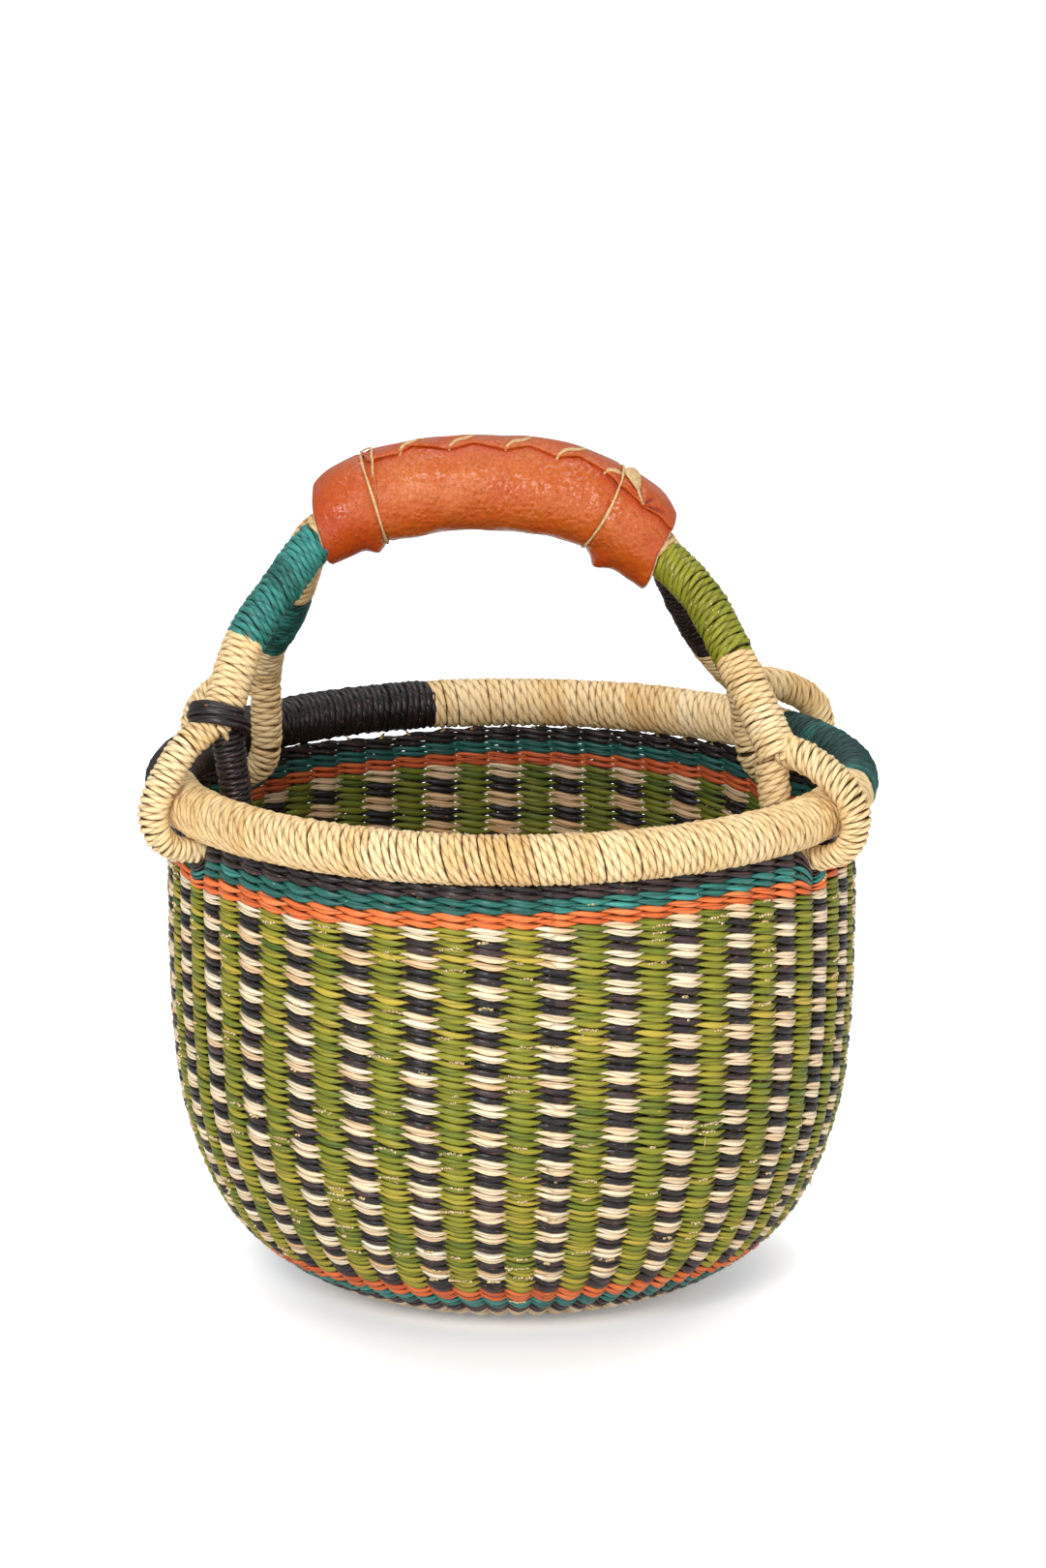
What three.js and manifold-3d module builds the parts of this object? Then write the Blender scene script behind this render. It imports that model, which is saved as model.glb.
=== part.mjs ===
// Bolga basket: a round market basket of twined straw with a wrapped rim,
// a two-strand handle on four eyes and a laced leather grip.
// Millimetres, +Z up. The origin is the centre of the base, on the floor.
// +X is to the right of someone who looks at the front, and +Y points away from them.
import * as THREE from 'three';
import { mergeVertices } from 'three/addons/utils/BufferGeometryUtils.js';
import Module from 'manifold-3d';

const wasm = await Module();
wasm.setup();

// Driving dimensions of the bowl
const rimRadius = 139.5; // centreline of the rim
const rimHeight = 209.5; // centre of the rim above the floor
const rimThick = 21; // rim over its straw wrap
const baseRadius = 63.5; // flat part of the base
const bellyBulge = 0.8; // the belly stands this much outside the mouth
const wallThick = 6; // woven wall, leaf crest to leaf crest
const leafDeep = 1.8; // the leaves at a stake stand this much over the valley to the next stake
const rowPitch = 3.04; // one twined row
const stakeEnd = 3; // bare stake between the top row and the rim
const baseTurnUp = 36.5; // the base's natural rows reach this far up the wall
const stakeThick = 2.4;

// Driving dimensions of the handle
const handleRise = 124.6; // rim centre to grip centre
const strandThick = 17.5; // strand over its straw wrap
const legThick = 13.6; // leg of an eye over its straw wrap
const legThickUnder = 10.4; // the same leg, pressed flat under the rim
const wrapWall = 2.4; // straw wrap on a bundle
const gripHigh = 38; // leather grip at its crown
const gripEndHigh = 35; // leather grip at its ends
const gripSide = 1.6; // room beside the strands inside the leather
const leatherThick = 2.2;
const lapStep = 1.4; // the lapped edge stands this much above the grip
const laceThick = 1.8;
const packingInset = 6; // the packing ends this far inside the leather
const bindingStraw = 3; // straw of the black binding at the front left fork

// Clearances
const seatGap = 0.3; // between neighbouring pieces
const eyeGap = 0.9; // between the rim and the eye round it
const slackShare = 0.3; // share of a seat's gap by which a cut surface may be off

// Counts and angles
const degree = Math.PI / 180;
const stakes = 64;
const firstStake = 7.2 * degree; // the first stake to the right of the front
const bandRows = 2;
const facets = 44; // round the rim and the upper bands
const strandRuns = 24;
const loopRuns = 12;
const strandSides = 9;
const legSides = 7;
const rimSides = 8;
const coreSides = 6; // of the rim's bundle

// Worked out from the driving dimensions
const rimTube = rimThick / 2;
const mouthRadius = rimRadius + wallThick / 8;
const bellyRadius = mouthRadius + bellyBulge;
const weaveTop = rimHeight - rimTube - stakeEnd;
const bandWidth = bandRows * rowPitch;
const legRadius = legThick / 2;
const legRadiusUnder = legThickUnder / 2;
const strandRadius = strandThick / 2;
const forkRoot = legRadius / 2; // a strand runs this far into its fork, between the legs
const eyeReach = rimTube + eyeGap + legRadius;
const eyeDrop = rimTube + eyeGap + legRadiusUnder;

// Straw and leather
const finish = (name, color, roughness) => new THREE.MeshStandardMaterial({
  name,
  color,
  roughness,
  metalness: 0,
});
const straw = (name, color) => finish(name, color, 0.62);
const natural = straw('natural straw', '#e8cf95');
const black = straw('black straw', '#2a262c');
const teal = straw('teal straw', '#1e8073');
const orange = straw('orange straw', '#ec7a3e');
const green = straw('green straw', '#8a9a2a');
const packing = straw('packing straw', '#cdb37c');
const leather = finish('tan leather', '#c8643a', 0.45);
const rawhide = finish('rawhide lace', '#d9b98a', 0.7);

const basket = new THREE.Group();

function add(name, geometry, material) {
  const mesh = new THREE.Mesh(geometry, material);
  mesh.name = name;
  basket.add(mesh);
  return mesh;
}

// Mesh helpers

// Turns a closed position-only geometry so that its faces point out.
function facedOut(geometry) {
  const p = geometry.getAttribute('position');
  const index = geometry.getIndex();
  const a = new THREE.Vector3();
  const b = new THREE.Vector3();
  const c = new THREE.Vector3();
  let volume = 0;
  for (let i = 0; i < index.count; i += 3) {
    a.fromBufferAttribute(p, index.getX(i));
    b.fromBufferAttribute(p, index.getX(i + 1));
    c.fromBufferAttribute(p, index.getX(i + 2));
    volume += a.dot(b.cross(c));
  }
  if (volume < 0) {
    const flipped = Array.from(index.array);
    for (let i = 0; i < flipped.length; i += 3) {
      [flipped[i + 1], flipped[i + 2]] = [flipped[i + 2], flipped[i + 1]];
    }
    geometry.setIndex(flipped);
  }
  return geometry;
}

// Skins a row of sections that all have the same count of points. A closed row comes back to
// its first section; an open one gets a fan at each end.
function skin(sections, closed) {
  const sides = sections[0].length;
  const points = sections.flat();
  const faces = [];
  const last = closed ? sections.length : sections.length - 1;
  for (let i = 0; i < last; i += 1) {
    const near = i * sides;
    const far = ((i + 1) % sections.length) * sides;
    for (let j = 0; j < sides; j += 1) {
      const k = (j + 1) % sides;
      faces.push(near + j, far + j, far + k, near + j, far + k, near + k);
    }
  }
  if (!closed) {
    for (const end of [0, sections.length - 1]) {
      const middle = new THREE.Vector3();
      sections[end].forEach((point) => middle.addScaledVector(point, 1 / sides));
      const hub = points.push(middle) - 1;
      for (let j = 0; j < sides; j += 1) {
        const edge = [end * sides + j, end * sides + ((j + 1) % sides)];
        if (end > 0) edge.reverse();
        faces.push(hub, edge[0], edge[1]);
      }
    }
  }
  const geometry = new THREE.BufferGeometry().setFromPoints(points);
  geometry.setIndex(faces);
  return facedOut(geometry);
}

// Skins sections that stand round the upright axis and closes them with a hub at each end
function bossed(sections) {
  const count = sections[0].length;
  const points = sections.flat();
  const faces = [];
  const hubs = [0, count - 1].map((j) => {
    const height = sections.reduce((sum, section) => sum + section[j].z, 0) / sections.length;
    return points.push(new THREE.Vector3(0, 0, height)) - 1;
  });
  sections.forEach((_, i) => {
    const near = i * count;
    const far = ((i + 1) % sections.length) * count;
    for (let j = 0; j < count - 1; j += 1) {
      faces.push(near + j, far + j, far + j + 1, near + j, far + j + 1, near + j + 1);
    }
    faces.push(hubs[0], far, near, hubs[1], near + count - 1, far + count - 1);
  });
  const geometry = new THREE.BufferGeometry().setFromPoints(points);
  geometry.setIndex(faces);
  return facedOut(geometry);
}

// Solids for cutting and joining
function solid(geometry) {
  const bare = geometry.clone();
  bare.deleteAttribute('normal');
  bare.deleteAttribute('uv');
  const merged = mergeVertices(bare);
  return new wasm.Manifold(new wasm.Mesh({
    numProp: 3,
    vertProperties: new Float32Array(merged.getAttribute('position').array),
    triVerts: new Uint32Array(merged.getIndex().array),
  }));
}

// The main body of a cut solid, without the slivers and the needle faces that a cut can leave
function meshOf(cut) {
  const [body] = cut.decompose().sort((one, other) => other.volume() - one.volume());
  const { vertProperties, triVerts } = body.simplify(seatGap * slackShare).getMesh();
  const geometry = new THREE.BufferGeometry();
  geometry.setAttribute('position', new THREE.BufferAttribute(new Float32Array(vertProperties), 3));
  geometry.setIndex(Array.from(triVerts));
  return geometry;
}

// A point at a radius and an angle from the front of the basket; the angle grows to the right.
const around = (angle, radius, height) => new THREE.Vector3(
  Math.sin(angle) * radius,
  -Math.cos(angle) * radius,
  height,
);

// The bowl's outside from the base's edge to the top row: how far out and how far up
const bowlShares = [
  [0, 0], [0.2, 0.0204], [0.361, 0.051], [0.552, 0.102], [0.7135, 0.1735], [0.8426, 0.2755],
  [0.942, 0.408], [0.9845, 0.561], [1, 0.74], [1, 0.908], [0.99, 1],
];
const bowlCurve = new THREE.CatmullRomCurve3(bowlShares.map(([out, up]) => new THREE.Vector3(
  baseRadius + out * (bellyRadius - baseRadius),
  0,
  up * weaveTop,
)), false, 'centripetal');
bowlCurve.arcLengthDivisions = 800;
const bowlLength = bowlCurve.getLength();

// Outside and inside of the wall at a distance below the top row, measured along the wall.
// Both sides can be sunk towards the wall's middle.
function wallAt(below, sunk = 0) {
  const share = THREE.MathUtils.clamp(1 - below / bowlLength, 0, 1);
  const outside = bowlCurve.getPointAt(share);
  const run = bowlCurve.getTangentAt(share);
  const inwards = new THREE.Vector3(-run.z, 0, run.x);
  const inside = outside.clone().addScaledVector(inwards, wallThick - sunk);
  return { outside: outside.addScaledVector(inwards, sunk), inside };
}

// The four eyes: angle from the front, then the fork's place from the rim's centre as shares
// of the eye's reach, inwards and upwards
const eyes = {
  frontLeft: { angle: -66 * degree, forkShares: [-0.61, 2.07] },
  frontRight: { angle: 61 * degree, forkShares: [-1.03, 1.52] },
  backLeft: { angle: -122.5 * degree, forkShares: [-0.86, 1.58] },
  backRight: { angle: 125 * degree, forkShares: [-1.15, 1.4] },
};

// The rows dip where an eye passes under the rim: all of the way at the eye, not at all
// one and a half leg widths from it.
const dipHalf = legRadiusUnder + seatGap;
const dipReach = dipHalf + legThick;
function dipAt(angle) {
  let most = 0;
  for (const eye of Object.values(eyes)) {
    const turn = Math.atan2(Math.sin(angle - eye.angle), Math.cos(angle - eye.angle));
    const away = Math.abs(turn) * rimRadius;
    most = Math.max(most, THREE.MathUtils.clamp((dipReach - away) / (dipReach - dipHalf), 0, 1));
  }
  return most;
}

// Angles of the upper bands' sections: even steps, and the corners of each dip
function bandAngles() {
  const corners = Object.values(eyes).flatMap((eye) => [-dipReach, -dipHalf, dipHalf, dipReach]
    .map((along) => eye.angle + along / rimRadius));
  const even = Array.from({ length: facets }, (_, i) => i * 2 * Math.PI / facets - Math.PI);
  const clear = even.filter((angle) => corners.every((corner) => Math.abs(
    Math.atan2(Math.sin(angle - corner), Math.cos(angle - corner)),
  ) > Math.PI / facets / 2));
  return [...clear, ...corners].sort((a, b) => a - b);
}

// One twined band between two distances below the top row. Its edges sink by the given
// lengths where the rows dip.
function band(from, to, sinkTop, sinkFoot) {
  const sections = bandAngles().map((angle) => {
    const dip = dipAt(angle);
    const top = wallAt(from + seatGap / 2 + dip * sinkTop);
    const foot = wallAt(to - seatGap / 2 + dip * sinkFoot);
    return [top.outside, foot.outside, foot.inside, top.inside]
      .map((place) => around(angle, place.x, place.z));
  });
  return skin(sections, true);
}

// One ring of the bowl between two distances below the top row, cut at the given shares of
// its width. A ribbed ring has a ridge at each stake and a valley between stakes, inside and
// outside, as the leaves of the rows make them.
function ring(from, to, cutShares, ribbed) {
  const outlineAt = (sunk) => {
    const places = cutShares.map((share) => wallAt(
      THREE.MathUtils.lerp(from + seatGap / 2, to - seatGap / 2, share),
      sunk,
    ));
    return [
      ...places.map((place) => place.outside),
      ...places.map((place) => place.inside).reverse(),
    ];
  };
  const outlines = ribbed ? [outlineAt(0), outlineAt(leafDeep)] : [outlineAt(0)];
  return skin(Array.from({ length: stakes * outlines.length }, (_, i) => {
    const angle = firstStake + (i * 2 * Math.PI) / (stakes * outlines.length);
    return outlines[i % outlines.length].map((point) => around(angle, point.x, point.z));
  }), true);
}

// Checker rows come in pairs, as many as fit between the bands above and below them.
const checkerRows = 2 * Math.floor((bowlLength - baseTurnUp) / (2 * rowPitch)) - 6 * bandRows;

// Base: a flat round with its edge turned up into the wall. Every other stake of the wall
// reaches the middle and shows as a ridge on the inner face; the face below is flat.
const baseFrom = (6 * bandRows + checkerRows) * rowPitch;
const crossingShare = 0.2; // of the base's radius, where the stakes meet in the middle
function baseDisc() {
  const steps = 3;
  const rise = Array.from({ length: steps + 1 }, (_, i) => wallAt(
    THREE.MathUtils.lerp(bowlLength, baseFrom + seatGap / 2, i / steps),
  ));
  const outline = [
    ...rise.map((place) => place.outside),
    ...rise.slice(1).reverse().map((place) => place.inside),
  ];
  const sections = Array.from({ length: stakes }, (_, i) => {
    const angle = firstStake + (i * 2 * Math.PI) / stakes;
    const floor = wallThick - (i % 2) * leafDeep;
    return [
      ...outline.map((point) => around(angle, point.x, point.z)),
      around(angle, baseRadius - wallThick / 2, floor),
      around(angle, baseRadius * crossingShare, floor),
    ];
  });
  return bossed(sections);
}

// Bare stake ends between the top row and the rim, fused with the row that they stand in
function stakeEnds(bandBody) {
  const wide = stakeThick / 2;
  let joined = bandBody;
  const middle = wallAt(0);
  const radius = (middle.outside.x + middle.inside.x) / 2;
  for (let i = 0; i < stakes; i += 1) {
    const angle = firstStake + (i * 2 * Math.PI) / stakes;
    if (dipAt(angle) === 0) {
      const low = weaveTop - rowPitch;
      const high = rimHeight - rimTube - seatGap;
      const peg = new THREE.CylinderGeometry(wide / 2, wide, high - low, 3)
        .rotateX(Math.PI / 2)
        .translate(radius, 0, (low + high) / 2)
        .rotateZ(angle - Math.PI / 2);
      joined = joined.add(solid(peg));
    }
  }
  return joined;
}

// Where the ribbed wall is cut: one long run in its straight upper part, then shorter ones
// down the belly
const wallCutShares = [0, 0.46, 0.68, 0.86, 1];

// How far the rows' edges sink at an eye, from the top edge down
const sinkTop = rimHeight - eyeDrop - legRadiusUnder - seatGap;
const sinkShares = [0.68, 0.36, 0.08];
const sinks = [weaveTop - sinkTop, ...sinkShares.map((share) => (weaveTop - sinkTop) * share)];

function buildBowl() {
  const edges = [0, bandWidth, 2 * bandWidth, 3 * bandWidth];
  add('base_disc', baseDisc(), natural);
  const checkerFoot = edges[3] + checkerRows * rowPitch;
  const lower = [['base_orange_ring', orange], ['base_teal_ring', teal], ['base_black_ring', black]];
  lower.forEach(([name, material], i) => {
    const from = checkerFoot + i * bandWidth;
    add(name, ring(from, from + bandWidth, [0, 1], false), material);
  });
  add('checker_wall', ring(edges[3] + sinks[3], checkerFoot, wallCutShares, true), green);
  const topBlack = solid(band(edges[0], edges[1], sinks[0], sinks[1]));
  add('top_black_band', meshOf(stakeEnds(topBlack)), black);
  add('top_teal_band', band(edges[1], edges[2], sinks[1], sinks[2]), teal);
  add('top_orange_band', band(edges[2], edges[3] + sinks[3], sinks[2], 0), orange);
}

// Rim: a hoop of straw under four lengths of wrap
class RimArc extends THREE.Curve {
  constructor(from, to) {
    super();
    this.from = from;
    this.to = to;
  }

  getPoint(share, target = new THREE.Vector3()) {
    return target.copy(around(THREE.MathUtils.lerp(this.from, this.to, share), rimRadius, rimHeight));
  }
}

// Where one wrap of the rim ends and the next begins, from the front round to the right
const rimWraps = [
  ['rim_wrap_front', natural, -82, 80],
  ['rim_wrap_right', teal, 80, 125],
  ['rim_wrap_back', natural, 125, 194.5],
  ['rim_wrap_left', black, 194.5, 278],
];

function buildRim() {
  const chordSag = rimRadius * (1 - Math.cos(Math.PI / facets));
  const coreRadius = rimTube - wrapWall - 2 * seatGap - chordSag;
  const hoop = new THREE.TorusGeometry(rimRadius, coreRadius, coreSides, facets);
  add('rim_core', hoop.translate(0, 0, rimHeight), packing);
  const hole = rimTube - wrapWall;
  for (const [name, material, from, to] of rimWraps) {
    const trim = seatGap / 2 / rimRadius;
    const arc = new RimArc(from * degree + trim, to * degree - trim);
    const steps = Math.ceil((to - from) / (360 / facets));
    const route = routeOf(arc, steps);
    const outer = route.map((station) => ringAt(station, rimTube, rimSides));
    const inner = route.map((station) => ringAt(station, hole, rimSides));
    add(name, skin([...outer, ...inner.reverse()], true), material);
  }
}

// Routes: a curve cut into straight runs. Each station has its place and two cross directions.
function routeOf(curve, runs) {
  const frames = curve.computeFrenetFrames(runs, false);
  return Array.from({ length: runs + 1 }, (_, i) => ({
    share: i / runs,
    at: curve.getPointAt(i / runs),
    across: frames.normals[i],
    over: frames.binormals[i],
  }));
}

function stationAt(route, share) {
  const place = THREE.MathUtils.clamp(share, 0, 1) * (route.length - 1);
  const i = Math.min(Math.floor(place), route.length - 2);
  const part = place - i;
  return {
    share,
    at: route[i].at.clone().lerp(route[i + 1].at, part),
    across: route[i].across.clone().lerp(route[i + 1].across, part),
    over: route[i].over.clone().lerp(route[i + 1].over, part),
  };
}

// The stations of a route from one share of it to another, with the two ends set in
function stretch(route, from, to) {
  const last = route.length - 1;
  const inner = route.filter((_, i) => i / last > from + 0.02 / last && i / last < to - 0.02 / last);
  return [stationAt(route, from), ...inner, stationAt(route, to)];
}

// The same stations with one more past each end, by two lengths
function lengthened(stations, atStart, atEnd) {
  const past = (tip, next, by) => {
    const way = tip.at.clone().sub(next.at).normalize();
    return { ...tip, at: tip.at.clone().addScaledVector(way, by) };
  };
  const last = stations.length - 1;
  return [
    ...(atStart > 0 ? [past(stations[0], stations[1], atStart)] : []),
    ...stations,
    ...(atEnd > 0 ? [past(stations[last], stations[last - 1], atEnd)] : []),
  ];
}

function ringAt(station, radius, sides) {
  return Array.from({ length: sides }, (_, i) => {
    const turn = (i * 2 * Math.PI) / sides;
    return station.at.clone()
      .addScaledVector(station.across, Math.cos(turn) * radius)
      .addScaledVector(station.over, Math.sin(turn) * radius);
  });
}

const tube = (stations, radiusAt, sides) => skin(
  stations.map((station) => ringAt(station, radiusAt(station.share), sides)),
  false,
);

function sleeve(stations, outer, inner, sides) {
  const shell = stations.map((station) => ringAt(station, outer, sides));
  const bore = stations.map((station) => ringAt(station, inner, sides));
  return skin([...shell, ...bore.reverse()], true);
}

// The grip's centreline: across as shares of the rim's radius, up as shares of the rise
const gripShares = [
  [-0.565, 0.853], [-0.43, 0.936], [-0.25, 0.987], [-0.04, 1], [0.16, 0.968], [0.3, 0.9], [0.43, 0.785],
];
const gripPoint = ([across, up], apart, drop) => new THREE.Vector3(
  across * rimRadius,
  apart * (strandRadius + seatGap),
  rimHeight + up * handleRise - drop,
);
const apartShares = [1.1, 1, 1, 1, 1, 1, 1.1]; // the strands begin to part at the grip's ends

const eyePoint = (eye, out, up) => around(eye.angle, rimRadius + out, rimHeight + up);
const forkOf = (eye) => eyePoint(eye, eye.forkShares[0] * eyeReach, eye.forkShares[1] * eyeReach);

// Each strand's way between the forks and the grip: across and back as shares of the rim's
// radius, up as shares of the rise. dropShares say how far below the grip's centreline the
// strand lies inside the grip, as shares of its own thickness.
const strandRoutes = {
  front: {
    side: -1,
    ends: [eyes.frontLeft, eyes.frontRight],
    leftShares: [[-0.764, -0.251, 0.534], [-0.66, -0.15, 0.69]],
    rightShares: [[0.545, -0.165, 0.655], [0.645, -0.287, 0.471]],
    dropShares: [0.28, 0.2, 0.12, 0.05, 0.05, 0.05, 0.08],
  },
  back: {
    side: 1,
    ends: [eyes.backLeft, eyes.backRight],
    leftShares: [[-0.731, 0.394, 0.348], [-0.668, 0.262, 0.49], [-0.636, 0.165, 0.61]],
    rightShares: [[0.524, 0.23, 0.516], [0.593, 0.344, 0.364]],
    dropShares: [0.36, 0.34, 0.25, 0.15, 0.12, 0.15, 0.2],
  },
};

function strandCurve(plan) {
  const free = ([across, back, up]) => new THREE.Vector3(
    across * rimRadius,
    back * rimRadius,
    rimHeight + up * handleRise,
  );
  return new THREE.CatmullRomCurve3([
    forkOf(plan.ends[0]),
    ...plan.leftShares.map(free),
    ...gripShares.map((share, i) => gripPoint(
      share,
      plan.side * apartShares[i],
      plan.dropShares[i] * strandThick,
    )),
    ...plan.rightShares.map(free),
    forkOf(plan.ends[1]),
  ], false, 'centripetal');
}

// The closed eye, as shares of its reach out from the rim's centre and of its reach up,
// from the fork down the outside, under the rim and up the inside
const loopAngles = [38, 12, -16, -46, -90, -134, -164, -186];
function loopCurve(eye) {
  const fork = forkOf(eye);
  const under = (turn) => THREE.MathUtils.lerp(eyeReach, eyeDrop, Math.max(0, -Math.sin(turn)) ** 4);
  const round = loopAngles.map((value) => {
    const turn = value * degree;
    return eyePoint(eye, Math.cos(turn) * under(turn), Math.sin(turn) * under(turn));
  });
  const shoulder = fork.clone().lerp(round[0], 0.5)
    .add(around(eye.angle, legRadius / 3, legRadius / 3));
  const inner = fork.clone().add(around(eye.angle, -legRadius / 3, -legRadius / 3));
  return new THREE.CatmullRomCurve3([fork, shoulder, ...round, inner], false, 'centripetal');
}

// A leg is thinnest under the rim, about the middle of the loop.
const thinMiddleShare = 0.55;
const thinSpreadShare = 0.14;
const legRadiusAt = (share) => {
  const low = Math.exp(-(((share - thinMiddleShare) / thinSpreadShare) ** 2));
  return THREE.MathUtils.lerp(legRadius, legRadiusUnder, low);
};

// Coloured lengths of wrap on each strand, as shares of its way from left fork to right fork
const splitShare = 0.62; // of the front left loop, where natural straw gives way to black
const wrapShares = {
  front: [
    ['strand_wrap_front_left', teal, 0.1, 0.26],
    ['strand_wrap_front_grip', natural, 0.26, 0.72],
    ['strand_wrap_front_right', green, 0.72, 0.88],
  ],
  back: [
    ['strand_wrap_back_left', teal, 0.11, 0.25],
    ['strand_wrap_back_grip', natural, 0.25, 0.75],
    ['strand_wrap_back_right', black, 0.75, 0.9],
  ],
};

// An eye's loop as two halves that meet under the rim, because its ends lie in each other
function loopBody(stations, grow) {
  const half = Math.floor(stations.length / 2);
  return [stations.slice(0, half + 1), stations.slice(half)]
    .map((part) => solid(tube(part, (share) => legRadiusAt(share) + grow, legSides)))
    .reduce((body, part) => body.add(part));
}

function buildHandle() {
  const built = {};
  for (const [name, plan] of Object.entries(strandRoutes)) {
    const route = routeOf(strandCurve(plan), strandRuns);
    const loops = plan.ends.map((eye) => routeOf(loopCurve(eye), loopRuns));
    const core = (grow) => {
      const strand = solid(tube(
        lengthened(route, forkRoot + grow, forkRoot + grow),
        () => strandRadius - wrapWall - seatGap + grow,
        strandSides,
      ));
      return loops.reduce((body, loop) => body.add(loopBody(
        lengthened(loop, grow, grow),
        grow - wrapWall - seatGap,
      )), strand);
    };
    add(`strand_${name}_core`, meshOf(core(0)), packing);
    for (const [node, material, from, to] of wrapShares[name]) {
      const trim = seatGap / 2 / strandCurve(plan).getLength();
      const stations = stretch(route, from + trim, to - trim);
      add(node, sleeve(stations, strandRadius, strandRadius - wrapWall, strandSides), material);
    }
    built[name] = { route, loops, bore: core(seatGap), plan };
  }
  return built;
}

// The wrap that covers a fork: the strand's last length, and the eye from one share of its
// loop to another. The bundle inside is cut out of it.
const forkWrap = (strand, end, edge, from, to) => forkCover(strand, end, edge, from, to, 0)
  .subtract(strand.bore);

function forkCover(strand, end, edge, from, to, grow) {
  const stations = end === 0
    ? lengthened(stretch(strand.route, 0, edge), forkRoot + wrapWall, grow)
    : lengthened(stretch(strand.route, edge, 1), grow, forkRoot + wrapWall);
  const leg = lengthened(stretch(strand.loops[end], from, to), grow, grow);
  return solid(tube(stations, () => strandRadius + grow, strandSides)).add(loopBody(leg, grow));
}

// The black straw that binds the front left fork: three turns as one unbroken tube
const bindingTurns = 3;
const bindingSteps = 14;
const bindingSides = 5;
function forkBinding({ route, plan }) {
  const pitch = bindingStraw + 2 * seatGap;
  const length = strandCurve(plan).getLength();
  const radius = strandRadius + seatGap + bindingStraw / 2;
  const points = Array.from({ length: bindingTurns * bindingSteps + 1 }, (_, i) => {
    const along = (strandRadius + (i / bindingSteps) * pitch) / length;
    const station = stationAt(route, along);
    const turn = (i * 2 * Math.PI) / bindingSteps;
    return station.at.clone()
      .addScaledVector(station.across, Math.cos(turn) * radius)
      .addScaledVector(station.over, Math.sin(turn) * radius);
  });
  const gap = leastSelfGap(points, bindingStraw / 2, bindingSteps - 2);
  console.log('binding: least gap to itself', gap.toFixed(2), 'mm');
  const curve = new THREE.CatmullRomCurve3(points, false, 'centripetal');
  return tube(routeOf(curve, points.length - 1), () => bindingStraw / 2, bindingSides);
}

// Least distance between the surfaces of one tube's own turns, measured on points along it
function leastSelfGap(points, radius, apart) {
  let least = Infinity;
  for (let i = 0; i < points.length; i += 1) {
    for (let j = i + apart; j < points.length; j += 1) {
      least = Math.min(least, points[i].distanceTo(points[j]) - 2 * radius);
    }
  }
  return least;
}

// Grip: sections square to its centreline. Turn 0 faces the front, a quarter turn the top.
const gripCurve = new THREE.CatmullRomCurve3(
  gripShares.map((share) => gripPoint(share, 0, 0)),
  false,
  'centripetal',
);
const gripLength = gripCurve.getLength();
const gripWide = 4 * strandRadius + 2 * gripSide + 2 * leatherThick;

function gripStation(share) {
  const along = gripCurve.getTangentAt(share);
  return {
    at: gripCurve.getPointAt(share),
    across: new THREE.Vector3(0, -1, 0),
    over: new THREE.Vector3(-along.z, 0, along.x),
    along,
  };
}

// The lapped edge of the leather stands up just in front of the top and fades behind it.
const lapEdge = 70 * degree;
const lapFade = 150 * degree;
function lapAt(turn) {
  if (turn < lapEdge || turn > lapFade) return 0;
  return lapStep * (lapFade - turn) / (lapFade - lapEdge);
}

// A point of the grip's section, inset from the leather's outside
function gripAt(share, turn, inset, lapped) {
  const station = gripStation(THREE.MathUtils.clamp(share, 0, 1));
  const crown = Math.sin(Math.PI * THREE.MathUtils.clamp(share, 0, 1)) ** 0.7;
  const high = THREE.MathUtils.lerp(gripEndHigh, gripHigh, crown) / 2 - inset;
  const wide = gripWide / 2 - inset;
  const lap = lapped ? lapAt(turn) : 0;
  return station.at
    .addScaledVector(station.across, Math.cos(turn) * (wide + lap))
    .addScaledVector(station.over, Math.sin(turn) * (high + lap));
}

const sectionTurns = [
  0, 23, 46, 69, 71, 92, 114, 136, 158, 180, 203, 226, 248, 270, 292, 314, 337,
].map((value) => value * degree);
const gripSection = (share, inset, lapped) => sectionTurns
  .map((turn) => gripAt(share, turn, inset, lapped));

// The grip is cut into straight runs, so a section between two stations lies on their chord.
const gripRuns = 9;
function chordSection(share, inset, lapped) {
  const run = Math.min(Math.floor(share * gripRuns), gripRuns - 1);
  const near = gripSection(run / gripRuns, inset, lapped);
  const far = gripSection((run + 1) / gripRuns, inset, lapped);
  return near.map((point, i) => point.lerp(far[i], share * gripRuns - run));
}
function gripSections(from, to, inset, lapped) {
  const inner = Array.from({ length: gripRuns + 1 }, (_, i) => i / gripRuns)
    .filter((share) => share > from && share < to);
  return [from, ...inner, to].map((share) => chordSection(share, inset, lapped));
}

// Whip stitches: one lace that winds through the leather round the lapped edge
const stitchTurns = 5;
const stitchSteps = 12;
const stitchFromShare = 0.262; // of the grip's length, where the lace starts
const stitchToShare = 0.85; // of the grip's length, where it ends
const laceRadius = laceThick / 2;
const laceSides = 4;
const stitchHalf = 5; // half of a stitch, across the lap
const stitchMiddle = 78 * degree;

function stitchPoint(step) {
  const turn = (step * 2 * Math.PI) / stitchSteps;
  const done = step / (stitchTurns * stitchSteps);
  const share = THREE.MathUtils.lerp(stitchFromShare, stitchToShare, done);
  const across = (Math.cos(turn) * stitchHalf) / (gripHigh / 2);
  const high = lapStep + laceRadius + 2 * seatGap;
  const low = leatherThick - laceRadius - 2 * seatGap;
  const inset = THREE.MathUtils.lerp(-high, low, (1 - Math.sin(turn)) / 2);
  return gripAt(share, stitchMiddle - across, inset, false);
}

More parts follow.
